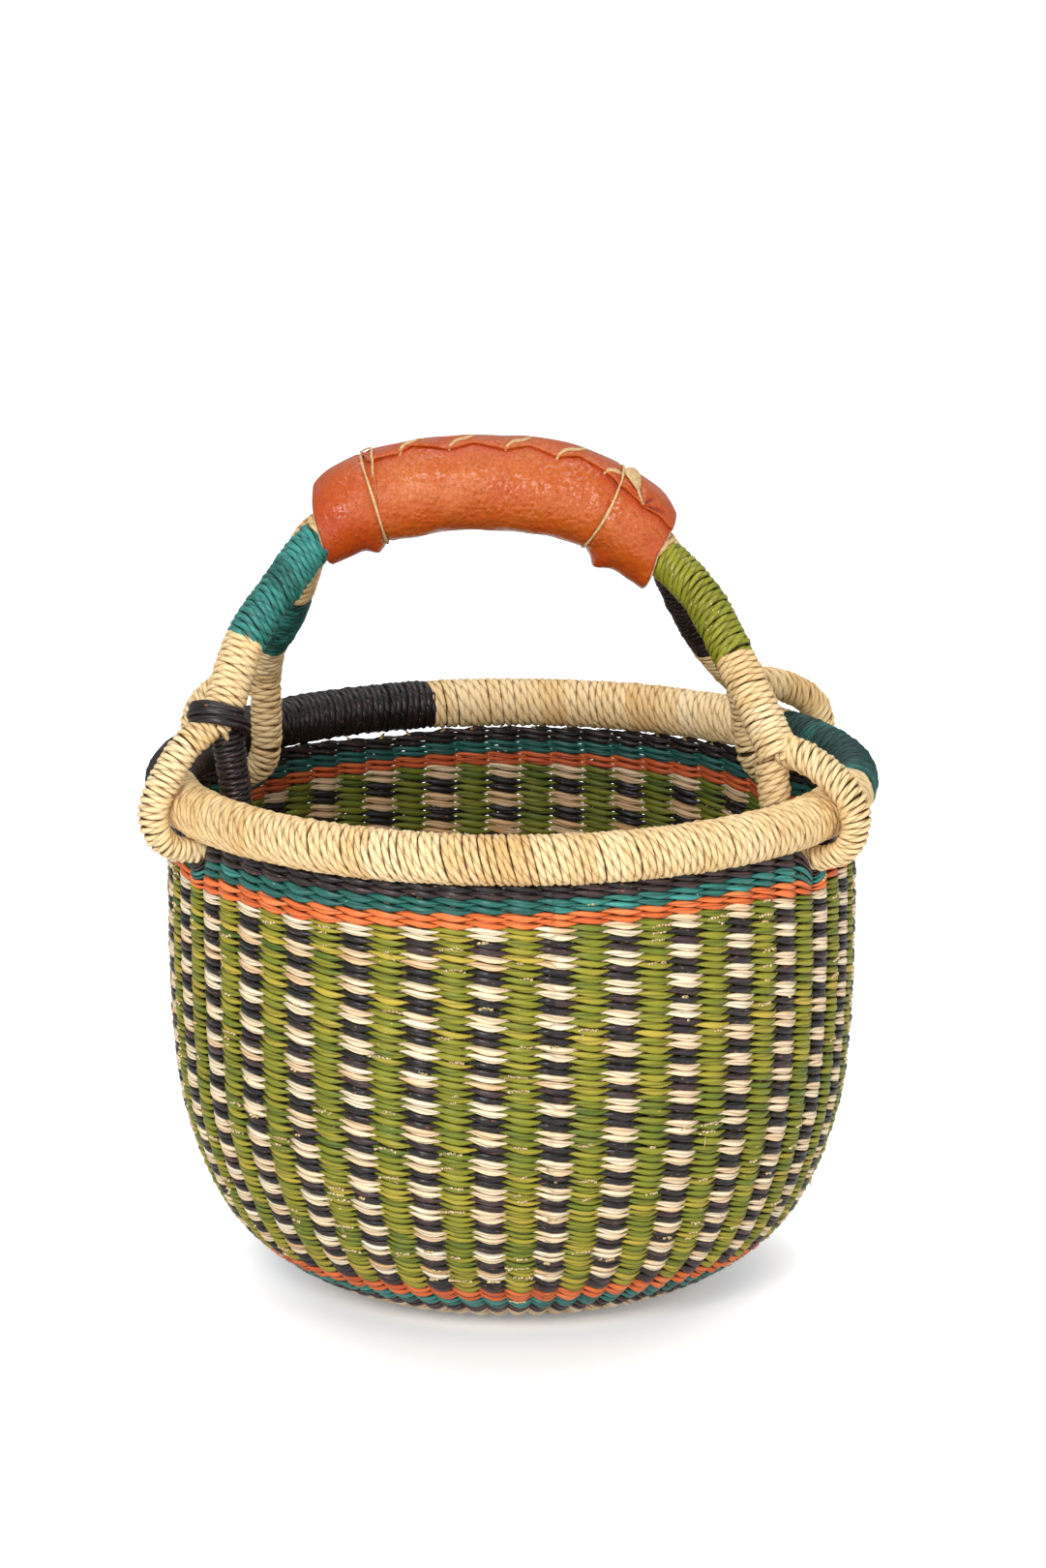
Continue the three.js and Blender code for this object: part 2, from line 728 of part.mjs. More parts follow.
function stitchTube(radius) {
  const early = stitchSteps / 4; // so that both ends lie under the leather
  const points = Array.from({ length: stitchTurns * stitchSteps + 1 }, (_, i) => stitchPoint(i - early));
  const curve = new THREE.CatmullRomCurve3(points, false, 'centripetal');
  return { points, body: tube(routeOf(curve, points.length - 1), () => radius, laceSides) };
}

// A lace tied round the grip at one share of its length
function laceRing(share) {
  const points = chordSection(share, -laceRadius - seatGap, true);
  const station = gripStation(share);
  const sections = points.map((point) => {
    const out = point.clone().sub(station.at).normalize();
    const at = { at: point, across: out, over: station.along };
    return ringAt(at, laceRadius, laceSides);
  });
  return skin(sections, true);
}

const ringShares = [0.175, 0.812];

// The lace's end at the right ring: a folded tongue that narrows down the front of the grip
const knotLong = 15; // from the ring's top down the front
const knotWide = 6.5;
const knotTaperShare = 0.9; // of its width, lost on the way down
function laceKnot() {
  const from = 84 * degree;
  const share = ringShares[1] + (laceRadius + 2 * seatGap) / gripLength;
  const turns = knotLong / (gripHigh / 2);
  const rows = 4;
  const low = -2 * seatGap;
  const high = low - laceRadius;
  const sections = Array.from({ length: rows + 1 }, (_, i) => {
    const down = i / rows;
    const turn = from - turns * down;
    const wide = (knotWide * (1 - knotTaperShare * down)) / gripLength;
    const near = share + (turns * down * laceThick) / gripLength;
    return [[near, low], [near + wide, low], [near + wide, high], [near, high]]
      .map(([at, inset]) => gripAt(at, turn, inset, true));
  });
  return skin(sections, false);
}

function buildGrip(strands) {
  const wraps = Object.values(strands).map(({ route }) => solid(
    tube(route, () => strandRadius + seatGap, strandSides),
  ));
  const stitches = stitchTube(laceRadius);
  const stitchHole = solid(stitchTube(laceRadius + seatGap).body);
  console.log('lace: least gap to itself', leastSelfGap(stitches.points, laceRadius, 5).toFixed(2), 'mm');
  add('lace_stitches', stitches.body, rawhide);

  const outer = gripSections(0, 1, 0, true);
  const inner = gripSections(0, 1, leatherThick, false);
  let hide = solid(skin([...outer, ...inner.reverse()], true)).subtract(stitchHole);
  const inset = packingInset / gripLength;
  let fill = solid(skin(
    gripSections(inset, 1 - inset, leatherThick + seatGap, false),
    false,
  ));
  for (const wrap of wraps) {
    hide = hide.subtract(wrap);
    fill = fill.subtract(wrap);
  }
  add('grip_leather', meshOf(hide), leather);
  add('grip_packing', meshOf(fill), packing);
  add('lace_ring_left', laceRing(ringShares[0]), rawhide);
  add('lace_ring_right', laceRing(ringShares[1]), rawhide);
  add('lace_knot', laceKnot(), rawhide);
}

function buildForks(strands) {
  const trim = (name) => seatGap / 2 / strandCurve(strandRoutes[name]).getLength();
  const { front, back } = strands;
  const naturalFork = forkWrap(front, 0, wrapShares.front[0][2] - trim('front'), 0, splitShare);
  add('fork_wrap_front_left', meshOf(naturalFork), natural);
  const blackLeg = tube(stretch(front.loops[0], splitShare, 1), legRadiusAt, legSides);
  const clear = forkCover(front, 0, wrapShares.front[0][2], 0, splitShare, seatGap);
  add('leg_wrap_front_left', meshOf(solid(blackLeg).subtract(front.bore).subtract(clear)), black);
  add('fork_binding_front_left', forkBinding(front), black);
  const whole = [
    ['fork_wrap_front_right', front, 1, wrapShares.front[2][3] + trim('front')],
    ['fork_wrap_back_left', back, 0, wrapShares.back[0][2] - trim('back')],
    ['fork_wrap_back_right', back, 1, wrapShares.back[2][3] + trim('back')],
  ];
  for (const [node, strand, end, edge] of whole) {
    add(node, meshOf(forkWrap(strand, end, edge, 0, 1)), natural);
  }
}

buildBowl();
buildRim();
const strands = buildHandle();
buildForks(strands);
buildGrip(strands);

export default basket;
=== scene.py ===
"""A bolga basket: rows of twined straw, a wrapped rim, a two-strand handle on four eyes
and a laced leather grip.

Run as a script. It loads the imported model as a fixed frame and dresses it.
"""

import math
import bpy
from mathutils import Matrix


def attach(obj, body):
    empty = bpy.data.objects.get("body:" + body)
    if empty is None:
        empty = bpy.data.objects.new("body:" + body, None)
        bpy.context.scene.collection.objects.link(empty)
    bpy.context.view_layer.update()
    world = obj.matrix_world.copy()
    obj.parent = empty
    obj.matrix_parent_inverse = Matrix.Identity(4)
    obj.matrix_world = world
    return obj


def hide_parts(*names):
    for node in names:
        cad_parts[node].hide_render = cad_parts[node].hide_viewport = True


bl_info = {
    "name": "Bolga basket",
    "version": (1, 0, 0),
    "blender": (4, 5, 0),
    "location": "View3D > Sidebar > Basket",
    "description": "Dresses the frame of a bolga basket in twined straw and leather",
    "category": "Add Mesh",
}

from functools import partial

import bpy
import numpy as np
from mathutils import Vector

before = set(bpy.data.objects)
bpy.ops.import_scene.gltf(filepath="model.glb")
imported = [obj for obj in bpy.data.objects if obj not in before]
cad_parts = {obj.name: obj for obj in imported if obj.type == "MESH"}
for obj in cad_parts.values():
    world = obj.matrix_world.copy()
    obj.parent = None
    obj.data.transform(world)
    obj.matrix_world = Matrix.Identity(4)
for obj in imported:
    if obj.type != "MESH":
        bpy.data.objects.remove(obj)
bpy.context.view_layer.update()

MM = 0.001
TAU = 2 * math.pi
DEGREE = math.pi / 180

# Seeds of the random draws
SEEDS = {
    "wall": 11, "bands": 12, "base": 13, "stakes": 21, "rim": 31, "rim_core": 41, "strand_core": 42,
    "leg_core": 45, "strands": 51, "ends": 61, "forks": 71, "legs": 81, "black_leg": 91,
}  # fmt: skip


# Settings


def linear(hex_colour):
    """A hex colour as it is written, in the linear values that shaders take."""
    parts = [int(hex_colour[i : i + 2], 16) / 255 for i in (1, 3, 5)]
    return tuple(c / 12.92 if c <= 0.04045 else ((c + 0.055) / 1.055) ** 2.4 for c in parts)


def length(name, millimetres, description):
    return bpy.props.FloatProperty(
        name=name, description=description, default=millimetres * MM, min=0, unit="LENGTH", precision=5
    )


def colour(name, hex_colour, description):
    return bpy.props.FloatVectorProperty(
        name=name, description=description, default=linear(hex_colour), subtype="COLOR", min=0, max=1
    )


def number(name, default, description, **kind):
    return bpy.props.FloatProperty(name=name, description=description, default=default, **kind)


class BowlSettings(bpy.types.PropertyGroup):
    """The twined bowl and the rim"""

    rim_radius: length("Rim radius", 139.5, "Centreline of the rim")
    rim_height: length("Rim height", 209.5, "Centre of the rim above the floor")
    rim_thick: length("Rim thickness", 21, "The rim over its straw wrap")
    base_radius: length("Base radius", 63.5, "Flat part of the base")
    belly_bulge: length("Belly bulge", 0.8, "How far the belly stands outside the mouth")
    wall_thick: length("Wall thickness", 6, "The woven wall from leaf crest to leaf crest")
    row_pitch: length("Row pitch", 3.04, "Height of one twined row")
    stake_end: length("Stake end", 3, "Bare stake between the top row and the rim")
    stake_thick: length("Stake thickness", 2.5, "One stake inside the weave")
    straw_high: length("Weft height", 3.35, "Height of a weft where it passes over a stake")
    straw_deep: length("Weft depth", 2.1, "Depth of a weft")
    swing: length("Weft swing", 1.95, "How far a weft swings out of the middle of the wall")
    cross_rise: length("Crossing rise", 0.9, "How far two wefts lie above each other where they cross")
    cross_high: length("Crossing height", 1.38, "Height of a weft where two wefts cross")


class HandleSettings(bpy.types.PropertyGroup):
    """The strands of the handle and their eyes"""

    rise: length("Rise", 124.6, "Rim centre to grip centre")
    strand_thick: length("Strand thickness", 17.5, "A strand over its straw wrap")
    leg_thick: length("Leg thickness", 13.6, "A leg of an eye over its straw wrap")
    leg_thick_under: length("Leg under the rim", 10.4, "The same leg, pressed flat under the rim")
    eye_gap: length("Eye gap", 0.9, "Between the rim and the eye round it")
    seat_gap: length("Seat gap", 0.3, "Between neighbouring pieces")
    wrap_wide: length("Wrap straw width", 3.2, "Width of a straw wound round the rim or a strand")
    wrap_deep: length("Wrap straw depth", 2.5, "Depth of a wound straw")
    wrap_pitch: length("Wrap pitch", 2.85, "From one turn of a wrap to the next")
    wander: length("Wander", 0.36, "How far a turn strays from its place")
    binding_straw: length("Binding straw", 3.1, "Straw of the black binding")


class GripSettings(bpy.types.PropertyGroup):
    """The leather grip and its lace"""

    high: length("Height", 38, "The grip at its crown")
    end_high: length("End height", 35, "The grip at its ends")
    side_room: length("Side room", 1.6, "Room beside the strands inside the leather")
    leather_thick: length("Leather thickness", 2.2, "The leather")
    lap_step: length("Lap step", 1.5, "How far the lapped edge stands above the grip")
    lace_wide: length("Lace width", 1.9, "Width of the cut thong")
    lace_thick: length("Lace thickness", 1, "Thickness of the cut thong")


class ColourSettings(bpy.types.PropertyGroup):
    """Dyes, leather and studio"""

    natural: colour("Natural straw", "#FBE3BE", "Undyed straw of the wall and the base")
    wrap_natural: colour("Natural wrap", "#F3D49B", "Undyed straw of the rim and the handle")
    green: colour("Green straw", "#8B8A12", "Straw dyed olive green")
    black: colour("Black straw", "#191110", "Straw dyed black")
    teal: colour("Teal straw", "#19655B", "Straw dyed teal")
    deep_teal: colour("Deep teal straw", "#0E4744", "The darker teal of the rim")
    orange: colour("Orange straw", "#EE7430", "Straw dyed orange")
    packing: colour("Packing straw", "#A98A55", "Loose straw inside the rim and the handle")
    leather: colour("Leather", "#C1591A", "Tan leather")
    leather_red: colour("Red leather", "#BB4510", "Where the tan is redder")
    lace: colour("Lace", "#D2AE7A", "Cut side of the hide")
    backdrop: colour("Backdrop", "#FFFFFF", "Floor and backdrop")


class StageSettings(bpy.types.PropertyGroup):
    """Camera and light"""

    distance: length("Camera distance", 3400, "From the camera to the rim's centre")
    aim_right: length("Aim to the right", 4.55, "How far the camera aims beside the rim's centre")
    aim_down: length("Aim below", 2.5, "How far the camera aims below the rim's centre")
    elevation: number("Elevation", 13.45 * DEGREE, "Height of the camera over the horizon", subtype="ANGLE")
    lens: number("Lens", 190.9, "Focal length with a sensor 36 mm long", subtype="DISTANCE_CAMERA")
    world: number("Sky", 0.46, "Strength of the white sky")
    key: number("Key", 44, "Power of the key lamp", unit="POWER")
    fill: number("Fill", 9, "Power of the fill lamp", unit="POWER")
    top: number("Top", 15, "Power of the top lamp", unit="POWER")


def settings():
    scene = bpy.context.scene
    return scene.basket_bowl, scene.basket_handle, scene.basket_grip


# Lines through space


def unit(vectors):
    return vectors / np.linalg.norm(vectors, axis=-1, keepdims=True)


def bell(value, width):
    """1 at zero, and smoothly down to nothing within about twice the width."""
    return np.exp(-((value / width) ** 2))


def half_turn(angle):
    """The same angle, between minus and plus half a turn."""
    return np.angle(np.exp(1j * angle))


def around(angle, radius, height):
    """Points at an angle from the front; the angle grows to the right."""
    angle, radius, height = np.broadcast_arrays(angle, radius, height)
    return np.stack([np.sin(angle) * radius, -np.cos(angle) * radius, height], -1)


def travelled(points):
    """The length of a line up to each of its points."""
    return np.concatenate([[0], np.cumsum(np.linalg.norm(np.diff(points, axis=0), axis=1))])


def sections(centre, one_way, one_size, other_way, other_size):
    """Rings round a line, from two directions across it and how far the sides lie along them."""
    one_side = one_way[:, None] * one_size[..., None]
    other_side = other_way[:, None] * other_size[..., None]
    return centre[:, None] + one_side + other_side


def smooth_line(points, per_span=24):
    """A smooth line through the points, each span timed by the root of its length."""
    points = np.asarray(points, float)
    padded = np.vstack([2 * points[0] - points[1], points, 2 * points[-1] - points[-2]])
    t = np.linspace(0, 1, per_span, endpoint=False)[:, None]
    spans = []
    for before, start, end, after in zip(padded, padded[1:], padded[2:], padded[3:]):
        pairs = (before, start), (start, end), (end, after)
        first, middle, last = (np.linalg.norm(b - a) ** 0.5 for a, b in pairs)
        leave = (start - before) / first - (end - before) / (first + middle) + (end - start) / middle
        arrive = (end - start) / middle - (after - start) / (middle + last) + (after - end) / last
        leave, arrive = leave * middle, arrive * middle
        bend = -3 * start + 3 * end - 2 * leave - arrive
        twist = 2 * start - 2 * end + leave + arrive
        spans.append(start + leave * t + bend * t**2 + twist * t**3)
    return np.vstack([*spans, points[-1:]])


class Route:
    """A line with its length, and two directions across it at every point."""

    def __init__(self, points, reference):
        self.reach = travelled(points)
        self.length = self.reach[-1]
        along = unit(np.gradient(points, self.reach, axis=0))
        reference = np.broadcast_to(reference, points.shape)
        out = unit(reference - (along * reference).sum(1, keepdims=True) * along)
        self.table = np.hstack([points, along, out, np.cross(along, out)])

    def at(self, reach):
        """Place, run, out and side at lengths from the start; past an end it runs on straight."""
        reach = np.asarray(reach, float)
        inside = np.clip(reach, 0, self.length)
        row = np.stack([np.interp(inside, self.reach, column) for column in self.table.T], -1)
        place, along, out, side = np.split(row, 4, -1)
        return place + along * (reach - inside)[..., None], unit(along), unit(out), unit(side)


def drift(count, spacing, rng):
    """Smooth random values about zero, with a new one every so many steps."""
    knots = rng.uniform(-1, 1, int(count / spacing) + 3)
    place = np.arange(count) / spacing
    low = place.astype(int)
    share = place - low
    ease = share * share * (3 - 2 * share)
    return knots[low] * (1 - ease) + knots[low + 1] * ease


# Meshes


class Straws:
    """Rings of points that become one mesh, with what the straw material reads at each point."""

    ply_pitch = 15.5 * MM  # two plies of a straw twist round each other once in this length
    strip_room = 0.03  # free on each side of a strip of the UV map

    def __init__(self):
        self.points, self.ply, self.tone, self.crest = [], [], [], []
        self.quads, self.quad_uv, self.caps = [], [], []
        self.count = 0
        self.strips = 0

    def add(self, rings, along, tone, crest, closed=False, per_strip=None, twist=None):
        """One straw: rings (steps, sides, 3), its length at each step, and tone and crest at all,
        at each step or at each point. twist says how far its plies have turned at each step."""
        steps, sides = rings.shape[:2]
        turn = np.arange(sides) * TAU / sides
        twist = along * TAU / self.ply_pitch if twist is None else twist
        angle = turn[None] + twist[:, None]
        reach = np.broadcast_to(along[:, None], angle.shape)
        self.points.append(rings.reshape(-1, 3))
        self.ply.append(np.stack([reach, np.cos(angle), np.sin(angle)], -1).reshape(-1, 3))
        # crest: painted light and shade on straw, from the crevice shade at 0 to lit at 1; on the leather it
        # marks the flesh side
        for values, kept in ((tone, self.tone), (crest, self.crest)):
            values = np.asarray(values, float)
            values = values[:, None] if values.ndim == 1 else values
            kept.append(np.broadcast_to(values, angle.shape).ravel())
        first = np.arange(steps if closed else steps - 1)[:, None]
        following = (first + 1) % steps
        side = np.arange(sides)[None]
        beside = (side + 1) % sides
        here, there = first * sides, following * sides
        corners = here + side, here + beside, there + beside, there + side
        self.quads.append(self.count + np.stack(corners, -1).reshape(-1, 4))
        per_strip = per_strip or len(first)
        strip = self.strips + first // per_strip
        left = (first % per_strip) / per_strip
        right = left + 1 / per_strip
        used = 1 - 2 * self.strip_room
        low, high = (strip + self.strip_room + used * edge / sides for edge in (side, side + 1))
        uv = (left, low), (left, high), (right, high), (right, low)
        pairs = [np.stack(np.broadcast_arrays(*corner), -1) for corner in uv]
        self.quad_uv.append(np.stack(pairs, -2).reshape(-1, 4, 2))
        self.strips = int(strip.max()) + 1
        if not closed:
            self.caps.append(self.count + np.arange(sides))
            self.caps.append(self.count + (steps - 1) * sides + np.arange(sides)[::-1])
        self.count += steps * sides

    def build(self, name, material):
        """The finished object."""
        quads = np.concatenate(self.quads)
        uv = np.concatenate(self.quad_uv).reshape(-1, 2)
        uv[:, 1] /= self.strips
        cap_sizes = [len(cap) for cap in self.caps]
        loops = np.concatenate([quads.ravel(), *self.caps])
        sizes = np.concatenate([np.full(len(quads), 4), np.array(cap_sizes, int)])
        starts = np.concatenate([[0], np.cumsum(sizes)[:-1]])
        cap_uv = [np.full((size, 2), 0.001) for size in cap_sizes]
        mesh = bpy.data.meshes.new(name)
        mesh.vertices.add(self.count)
        mesh.vertices.foreach_set("co", np.concatenate(self.points).astype(np.float32).ravel())
        mesh.loops.add(len(loops))
        mesh.loops.foreach_set("vertex_index", loops.astype(np.int32))
        mesh.polygons.add(len(sizes))
        mesh.polygons.foreach_set("loop_start", starts.astype(np.int32))
        mesh.polygons.foreach_set("use_smooth", np.ones(len(sizes), bool))
        mesh.update(calc_edges=True)
        layer = mesh.uv_layers.new(name="OFBake")
        layer.data.foreach_set("uv", np.concatenate([uv, *cap_uv]).astype(np.float32).ravel())
        for title, kind, field, values in (
            ("ply", "FLOAT_VECTOR", "vector", self.ply),
            ("tone", "FLOAT", "value", self.tone),
            ("crest", "FLOAT", "value", self.crest),
        ):
            attribute = mesh.attributes.new(title, kind, "POINT")
            attribute.data.foreach_set(field, np.concatenate(values).astype(np.float32).ravel())
        mesh.materials.append(material)
        piece = bpy.data.objects.new(name, mesh)
        bpy.context.scene.collection.objects.link(piece)
        return piece

    def settle(self, name, look, slot, *nodes):
        """The finished piece rides on the body, takes the look's material and stands for its nodes. slot is
        not used.
        """
        piece = self.build(name, material_of(look))
        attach(piece, "root")
        if nodes:
            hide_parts(*nodes)


def two_ply(sides, twist, swell):
    """The section of a straw of two plies, as shares of its half width and half depth."""
    turn = (np.arange(sides) * TAU / sides)[None]
    full = 1 + swell * np.cos(2 * (turn + twist[:, None]))
    return np.cos(turn) * full, np.sin(turn) * full


# Materials


def add_node(tree, kind, inputs=(), output=0, stops=(), **options):
    """Adds a node, sets its options, links or fills its inputs and gives one of its outputs.
    stops are the colours of a ramp, each with its place."""
    node = tree.nodes.new("ShaderNode" + kind)
    for key, value in options.items():
        setattr(node, key, value)
    for key, value in dict(inputs).items():
        if isinstance(value, bpy.types.NodeSocket):
            tree.links.new(value, node.inputs[key])
        else:
            node.inputs[key].default_value = value
    if stops:
        elements = node.color_ramp.elements
        for place, value in stops:
            elements.new(place).color = (*value, 1)
        elements.remove(elements[0])
        elements.remove(elements[-1])
    return node.outputs[output] if node.outputs else None


def node_adder(owner):
    """Empties the shader tree of a material or a world, and gives add_node for that tree."""
    owner.use_nodes = True
    owner.node_tree.nodes.clear()
    return partial(add_node, owner.node_tree)


def summed(node, start, *parts):
    """A start value and patterns added up, each pattern times its share."""
    for pattern, share in parts:
        start = node("Math", {0: pattern, 1: share, 2: start}, operation="MULTIPLY_ADD")
    return start


def finish_surface(node, height, strength, distance, inputs):
    """The relief, the surface shader and the output."""
    relief = node("Bump", {"Strength": strength, "Distance": distance, "Height": height})
    shader = node("BsdfPrincipled", {"Normal": relief, **inputs})
    node("OutputMaterial", {"Surface": shader})


STRAW_LOOKS = {
    # name: dye in the settings, shade, light, painted crevice shade, fleck, share of flecks, roughness
    "natural_straw": ("natural", "#E0AE72", "#FFF6E0", "#4E2C0C", "#B08450", 0.2, 0.46),
    "wrap_natural_straw": ("wrap_natural", "#D09C52", "#FFEABF", "#7E4E18", "#A87B40", 0.22, 0.46),
    "green_straw": ("green", "#4C6608", "#C2AC38", "#2A1E02", "#D9C47C", 0.21, 0.38),
    "wrap_green_straw": ("green", "#5A7406", "#B9BC3C", "#303604", "#E6DDA4", 0.25, 0.31),
    "black_straw": ("black", "#0A0606", "#4E3434", "#030101", "#84503E", 0.28, 0.27),
    "teal_straw": ("teal", "#124E4A", "#48ACA2", "#062B2A", "#9ECDB4", 0.2, 0.29),
    "deep_teal_straw": ("deep_teal", "#0C4442", "#46BCAE", "#000605", "#5FB0A2", 0.22, 0.36),
    "orange_straw": ("orange", "#C24E1C", "#F99A5E", "#5E1C08", "#F6C79A", 0.2, 0.36),
    "cut_straw": ("wrap_natural", "#E0AE58", "#FFECB4", "#4A1C06", "#A8641F", 0.2, 0.6),
    "packing_straw": ("packing", "#6B5029", "#CDB27C", "#3A2812", "#54401F", 0.25, 0.6),
}


def straw(name):
    """Split elephant grass, twisted of two plies, dyed in a pot and rubbed by hand: streaks
    run along the straw, painted shade darkens the groove between the plies, and the skin has
    a satin gloss with small glints. Flecks are spots that took no dye."""
    dye, *hexes, fleck_share, gloss = STRAW_LOOKS[name]
    base = tuple(getattr(bpy.context.scene.basket_colours, dye))
    shade, light, crevice_shade, fleck = map(linear, hexes)
    material = bpy.data.materials.new(name)
    node = node_adder(material)
    ply = node("Attribute", (), "Vector", attribute_name="ply")
    tone = node("Attribute", (), "Fac", attribute_name="tone")
    crest = node("Attribute", (), "Fac", attribute_name="crest")

    def grown(along_scale, round_scale, scale, detail, roughness=0.5):
        """A pattern drawn out along the straw, and different on straws of another tone."""
        stretch = along_scale, round_scale, round_scale
        where = node("VectorMath", {0: ply, 1: stretch}, operation="MULTIPLY")
        where = node("VectorMath", {0: tone, 1: (37.0, 17.0, 29.0), 2: where}, operation="MULTIPLY_ADD")
        inputs = {"Vector": where, "Scale": scale, "Detail": detail, "Roughness": roughness}
        return node("TexNoise", inputs, "Fac")

    streaks = grown(70, 1.1, 1.6, 4, 0.62)  # fibres, about a millimetre apart round the straw
    blotches = grown(55, 0.35, 1.0, 2)  # the dye took unevenly over a centimetre or two
    pits = grown(420, 1.6, 2.2, 2)  # about a millimetre long
    flecks = grown(260, 0.9, 1.7, 1)  # two or three millimetres long
    taken = summed(node, -0.56, (blotches, 0.5), (streaks, 0.62), (tone, 1.0))
    skin = node("ValToRGB", {"Fac": taken}, "Color", [(0.05, shade), (0.5, base), (0.95, light)])
    from_groove = node("Math", {0: node("SeparateXYZ", {"Vector": ply}, "Y")}, operation="ABSOLUTE")
    groove = node("MapRange", {"Value": from_groove, "From Max": 0.42}, interpolation_type="SMOOTHSTEP")
    # painted shade: the groove between the plies and low crest values take the crevice shade colour
    lit = node("Math", {0: summed(node, 0.55, (groove, 0.45)), 1: crest}, operation="MULTIPLY")
    toned = node("Mix", {0: lit, 6: (*crevice_shade, 1), 7: skin}, 2, data_type="RGBA")
    clear = 1 - fleck_share
    spots = node("MapRange", {"Value": flecks, "From Min": clear - 0.03, "From Max": clear})
    height = summed(node, 0.0, (pits, 0.22), (groove, 0.75), (streaks, 0.5))
    inputs = {
        "Base Color": node("Mix", {0: spots, 6: toned, 7: (*fleck, 1)}, 2, data_type="RGBA"),
        # hands polish the crests; the grooves stay dry
        "Roughness": summed(node, gloss + 0.28, (lit, -0.4), (streaks, 0.4)),
        "Specular IOR Level": 0.5,
    }
    finish_surface(node, height, 0.85, 0.45 * MM, inputs)
    return material


def leather():
    """Goatskin tanned a warm tan: pebbled grain that glints where light strikes it, pores,
    redder where it is worn or doubled, painted shade underneath, in the creases and under
    the lapped edge, and the pale flesh side at the cut ends."""
    tints = bpy.context.scene.basket_colours
    material = bpy.data.materials.new("tan leather")
    node = node_adder(material)
    where = node("TexCoord", (), "Object")
    red_and_shade = node("Attribute", (), "Fac", attribute_name="tone")
    flesh = node("Attribute", (), "Fac", attribute_name="crest")
    # from patches of 26 mm down to pores of 0.6 mm: how many in a metre, detail, roughness
    patches, clouds, dents, mottles, grain, pores = (
        node("TexNoise", {"Vector": where, "Scale": scale, "Detail": detail, "Roughness": rough}, "Fac")
        for scale, detail, rough in (
            (38, 2, 0.55), (55, 4, 0.6), (170, 2, 0.55), (420, 3, 0.55), (1500, 3, 0.6), (1700, 1, 0.55),
        )
    )  # fmt: skip
    # the deepest stops are painted shade in the creases and under the lapped edge
    tan = [
        (0.18, linear("#CE7034")), (0.31, tuple(tints.leather)), (0.48, tuple(tints.leather_red)),
        (0.56, linear("#A83C12")), (0.85, linear("#4E180A")),
    ]  # fmt: skip
    depth = summed(node, 0.0, (mottles, 0.25), (clouds, 0.9), (red_and_shade, 0.5))
    depth = node("Math", {0: depth, 1: 0.5}, operation="MULTIPLY")
    skin = node("ValToRGB", {"Fac": depth}, "Color", tan)
    pores = node("MapRange", {"Value": pores, "From Min": 0.33, "From Max": 0.4})
    skin = node("VectorMath", {0: skin, "Scale": summed(node, 0.62, (pores, 0.38))}, operation="SCALE")
    pale = [(0.3, linear("#B98A60")), (0.7, linear("#E4C79C"))]
    inner = node("ValToRGB", {"Fac": mottles}, "Color", pale)
    # pebbles of 2 mm over the straw in the middle, drawn smooth at the ends
    cells = {"Vector": where, "Scale": 470.0, "Randomness": 1.0}
    pebbles = node("TexVoronoi", cells, "Distance", feature="SMOOTH_F1")
    pebbles = node("Math", {0: pebbles, 1: summed(node, -1.5, (red_and_shade, 1.1))}, operation="MULTIPLY")
    height = summed(node, 0.0, (pores, 0.22), (grain, 0.3), (pebbles, 1.0), (dents, 0.75))
    # hands have polished it in patches, most of all right of the middle
    across = node("SeparateXYZ", {"Vector": where}, "X")
    polish = {"From Min": 0.4, "From Max": 0.49, "To Min": 0.42, "To Max": 0.09}
    rough = node("MapRange", {"Value": summed(node, patches, (across, 1.1)), **polish})
    inputs = {
        "Base Color": node("Mix", {0: flesh, 6: skin, 7: inner}, 2, data_type="RGBA"),
        "Roughness": summed(node, rough, (flesh, 0.4)),
        "Specular IOR Level": 0.5,
    }
    finish_surface(node, height, 0.8, 0.75 * MM, inputs)
    return material


def lace():
    """Rawhide thong, cut so that its fibrous flesh side shows: dry, pale and a little uneven."""
    cut_side = tuple(bpy.context.scene.basket_colours.lace)
    material = bpy.data.materials.new("rawhide lace")
    node = node_adder(material)
    where = node("TexCoord", (), "Object")
    # fibres of 0.7 mm
    fibres = node("TexNoise", {"Vector": where, "Scale": 1500.0, "Detail": 4.0, "Roughness": 0.65}, "Fac")
    pale = [(0.3, linear("#9C7044")), (0.5, cut_side), (0.72, linear("#EAD5AC"))]
    hide = node("ValToRGB", {"Fac": fibres}, "Color", pale)
    finish_surface(node, fibres, 0.6, 0.2 * MM, {"Base Color": hide, "Roughness": 0.72})
    return material


MATERIALS = {}


def material_of(look):
    """The material of a look, made once."""
    if look not in MATERIALS:
        hides = {"leather": leather, "lace": lace}
        MATERIALS[look] = hides[look]() if look in hides else straw(look)
    return MATERIALS[look]


# Bowl

STAKES = 64
FIRST_STAKE = 7.2 * DEGREE  # the checker column just right of the front
BAND_ROWS = 2
CHECKER_ROWS = 56
BANDS_END = 3 * BAND_ROWS
CHECKER_END = BANDS_END + CHECKER_ROWS
WEFT_STEPS = 6  # from one stake to the next
WEFT_SIDES = 8
WEFT_STRAW = 300 * MM  # length of one straw of a weft
WEFT_TWIST = 52 * MM  # the plies of a weft turn round each other once in this length
CLOSE_STAKES = 9 * MM  # stakes closer than this leave room for a thinner weft only

# The four eyes: angle from the front, then the fork's place from the rim's centre as shares
# of the eye's reach, inwards and upwards
EYES = {
    "front_left": (-66 * DEGREE, (-0.61, 2.07)),
    "front_right": (61 * DEGREE, (-1.03, 1.52)),
    "back_left": (-122.5 * DEGREE, (-0.86, 1.58)),
    "back_right": (125 * DEGREE, (-1.15, 1.4)),
}
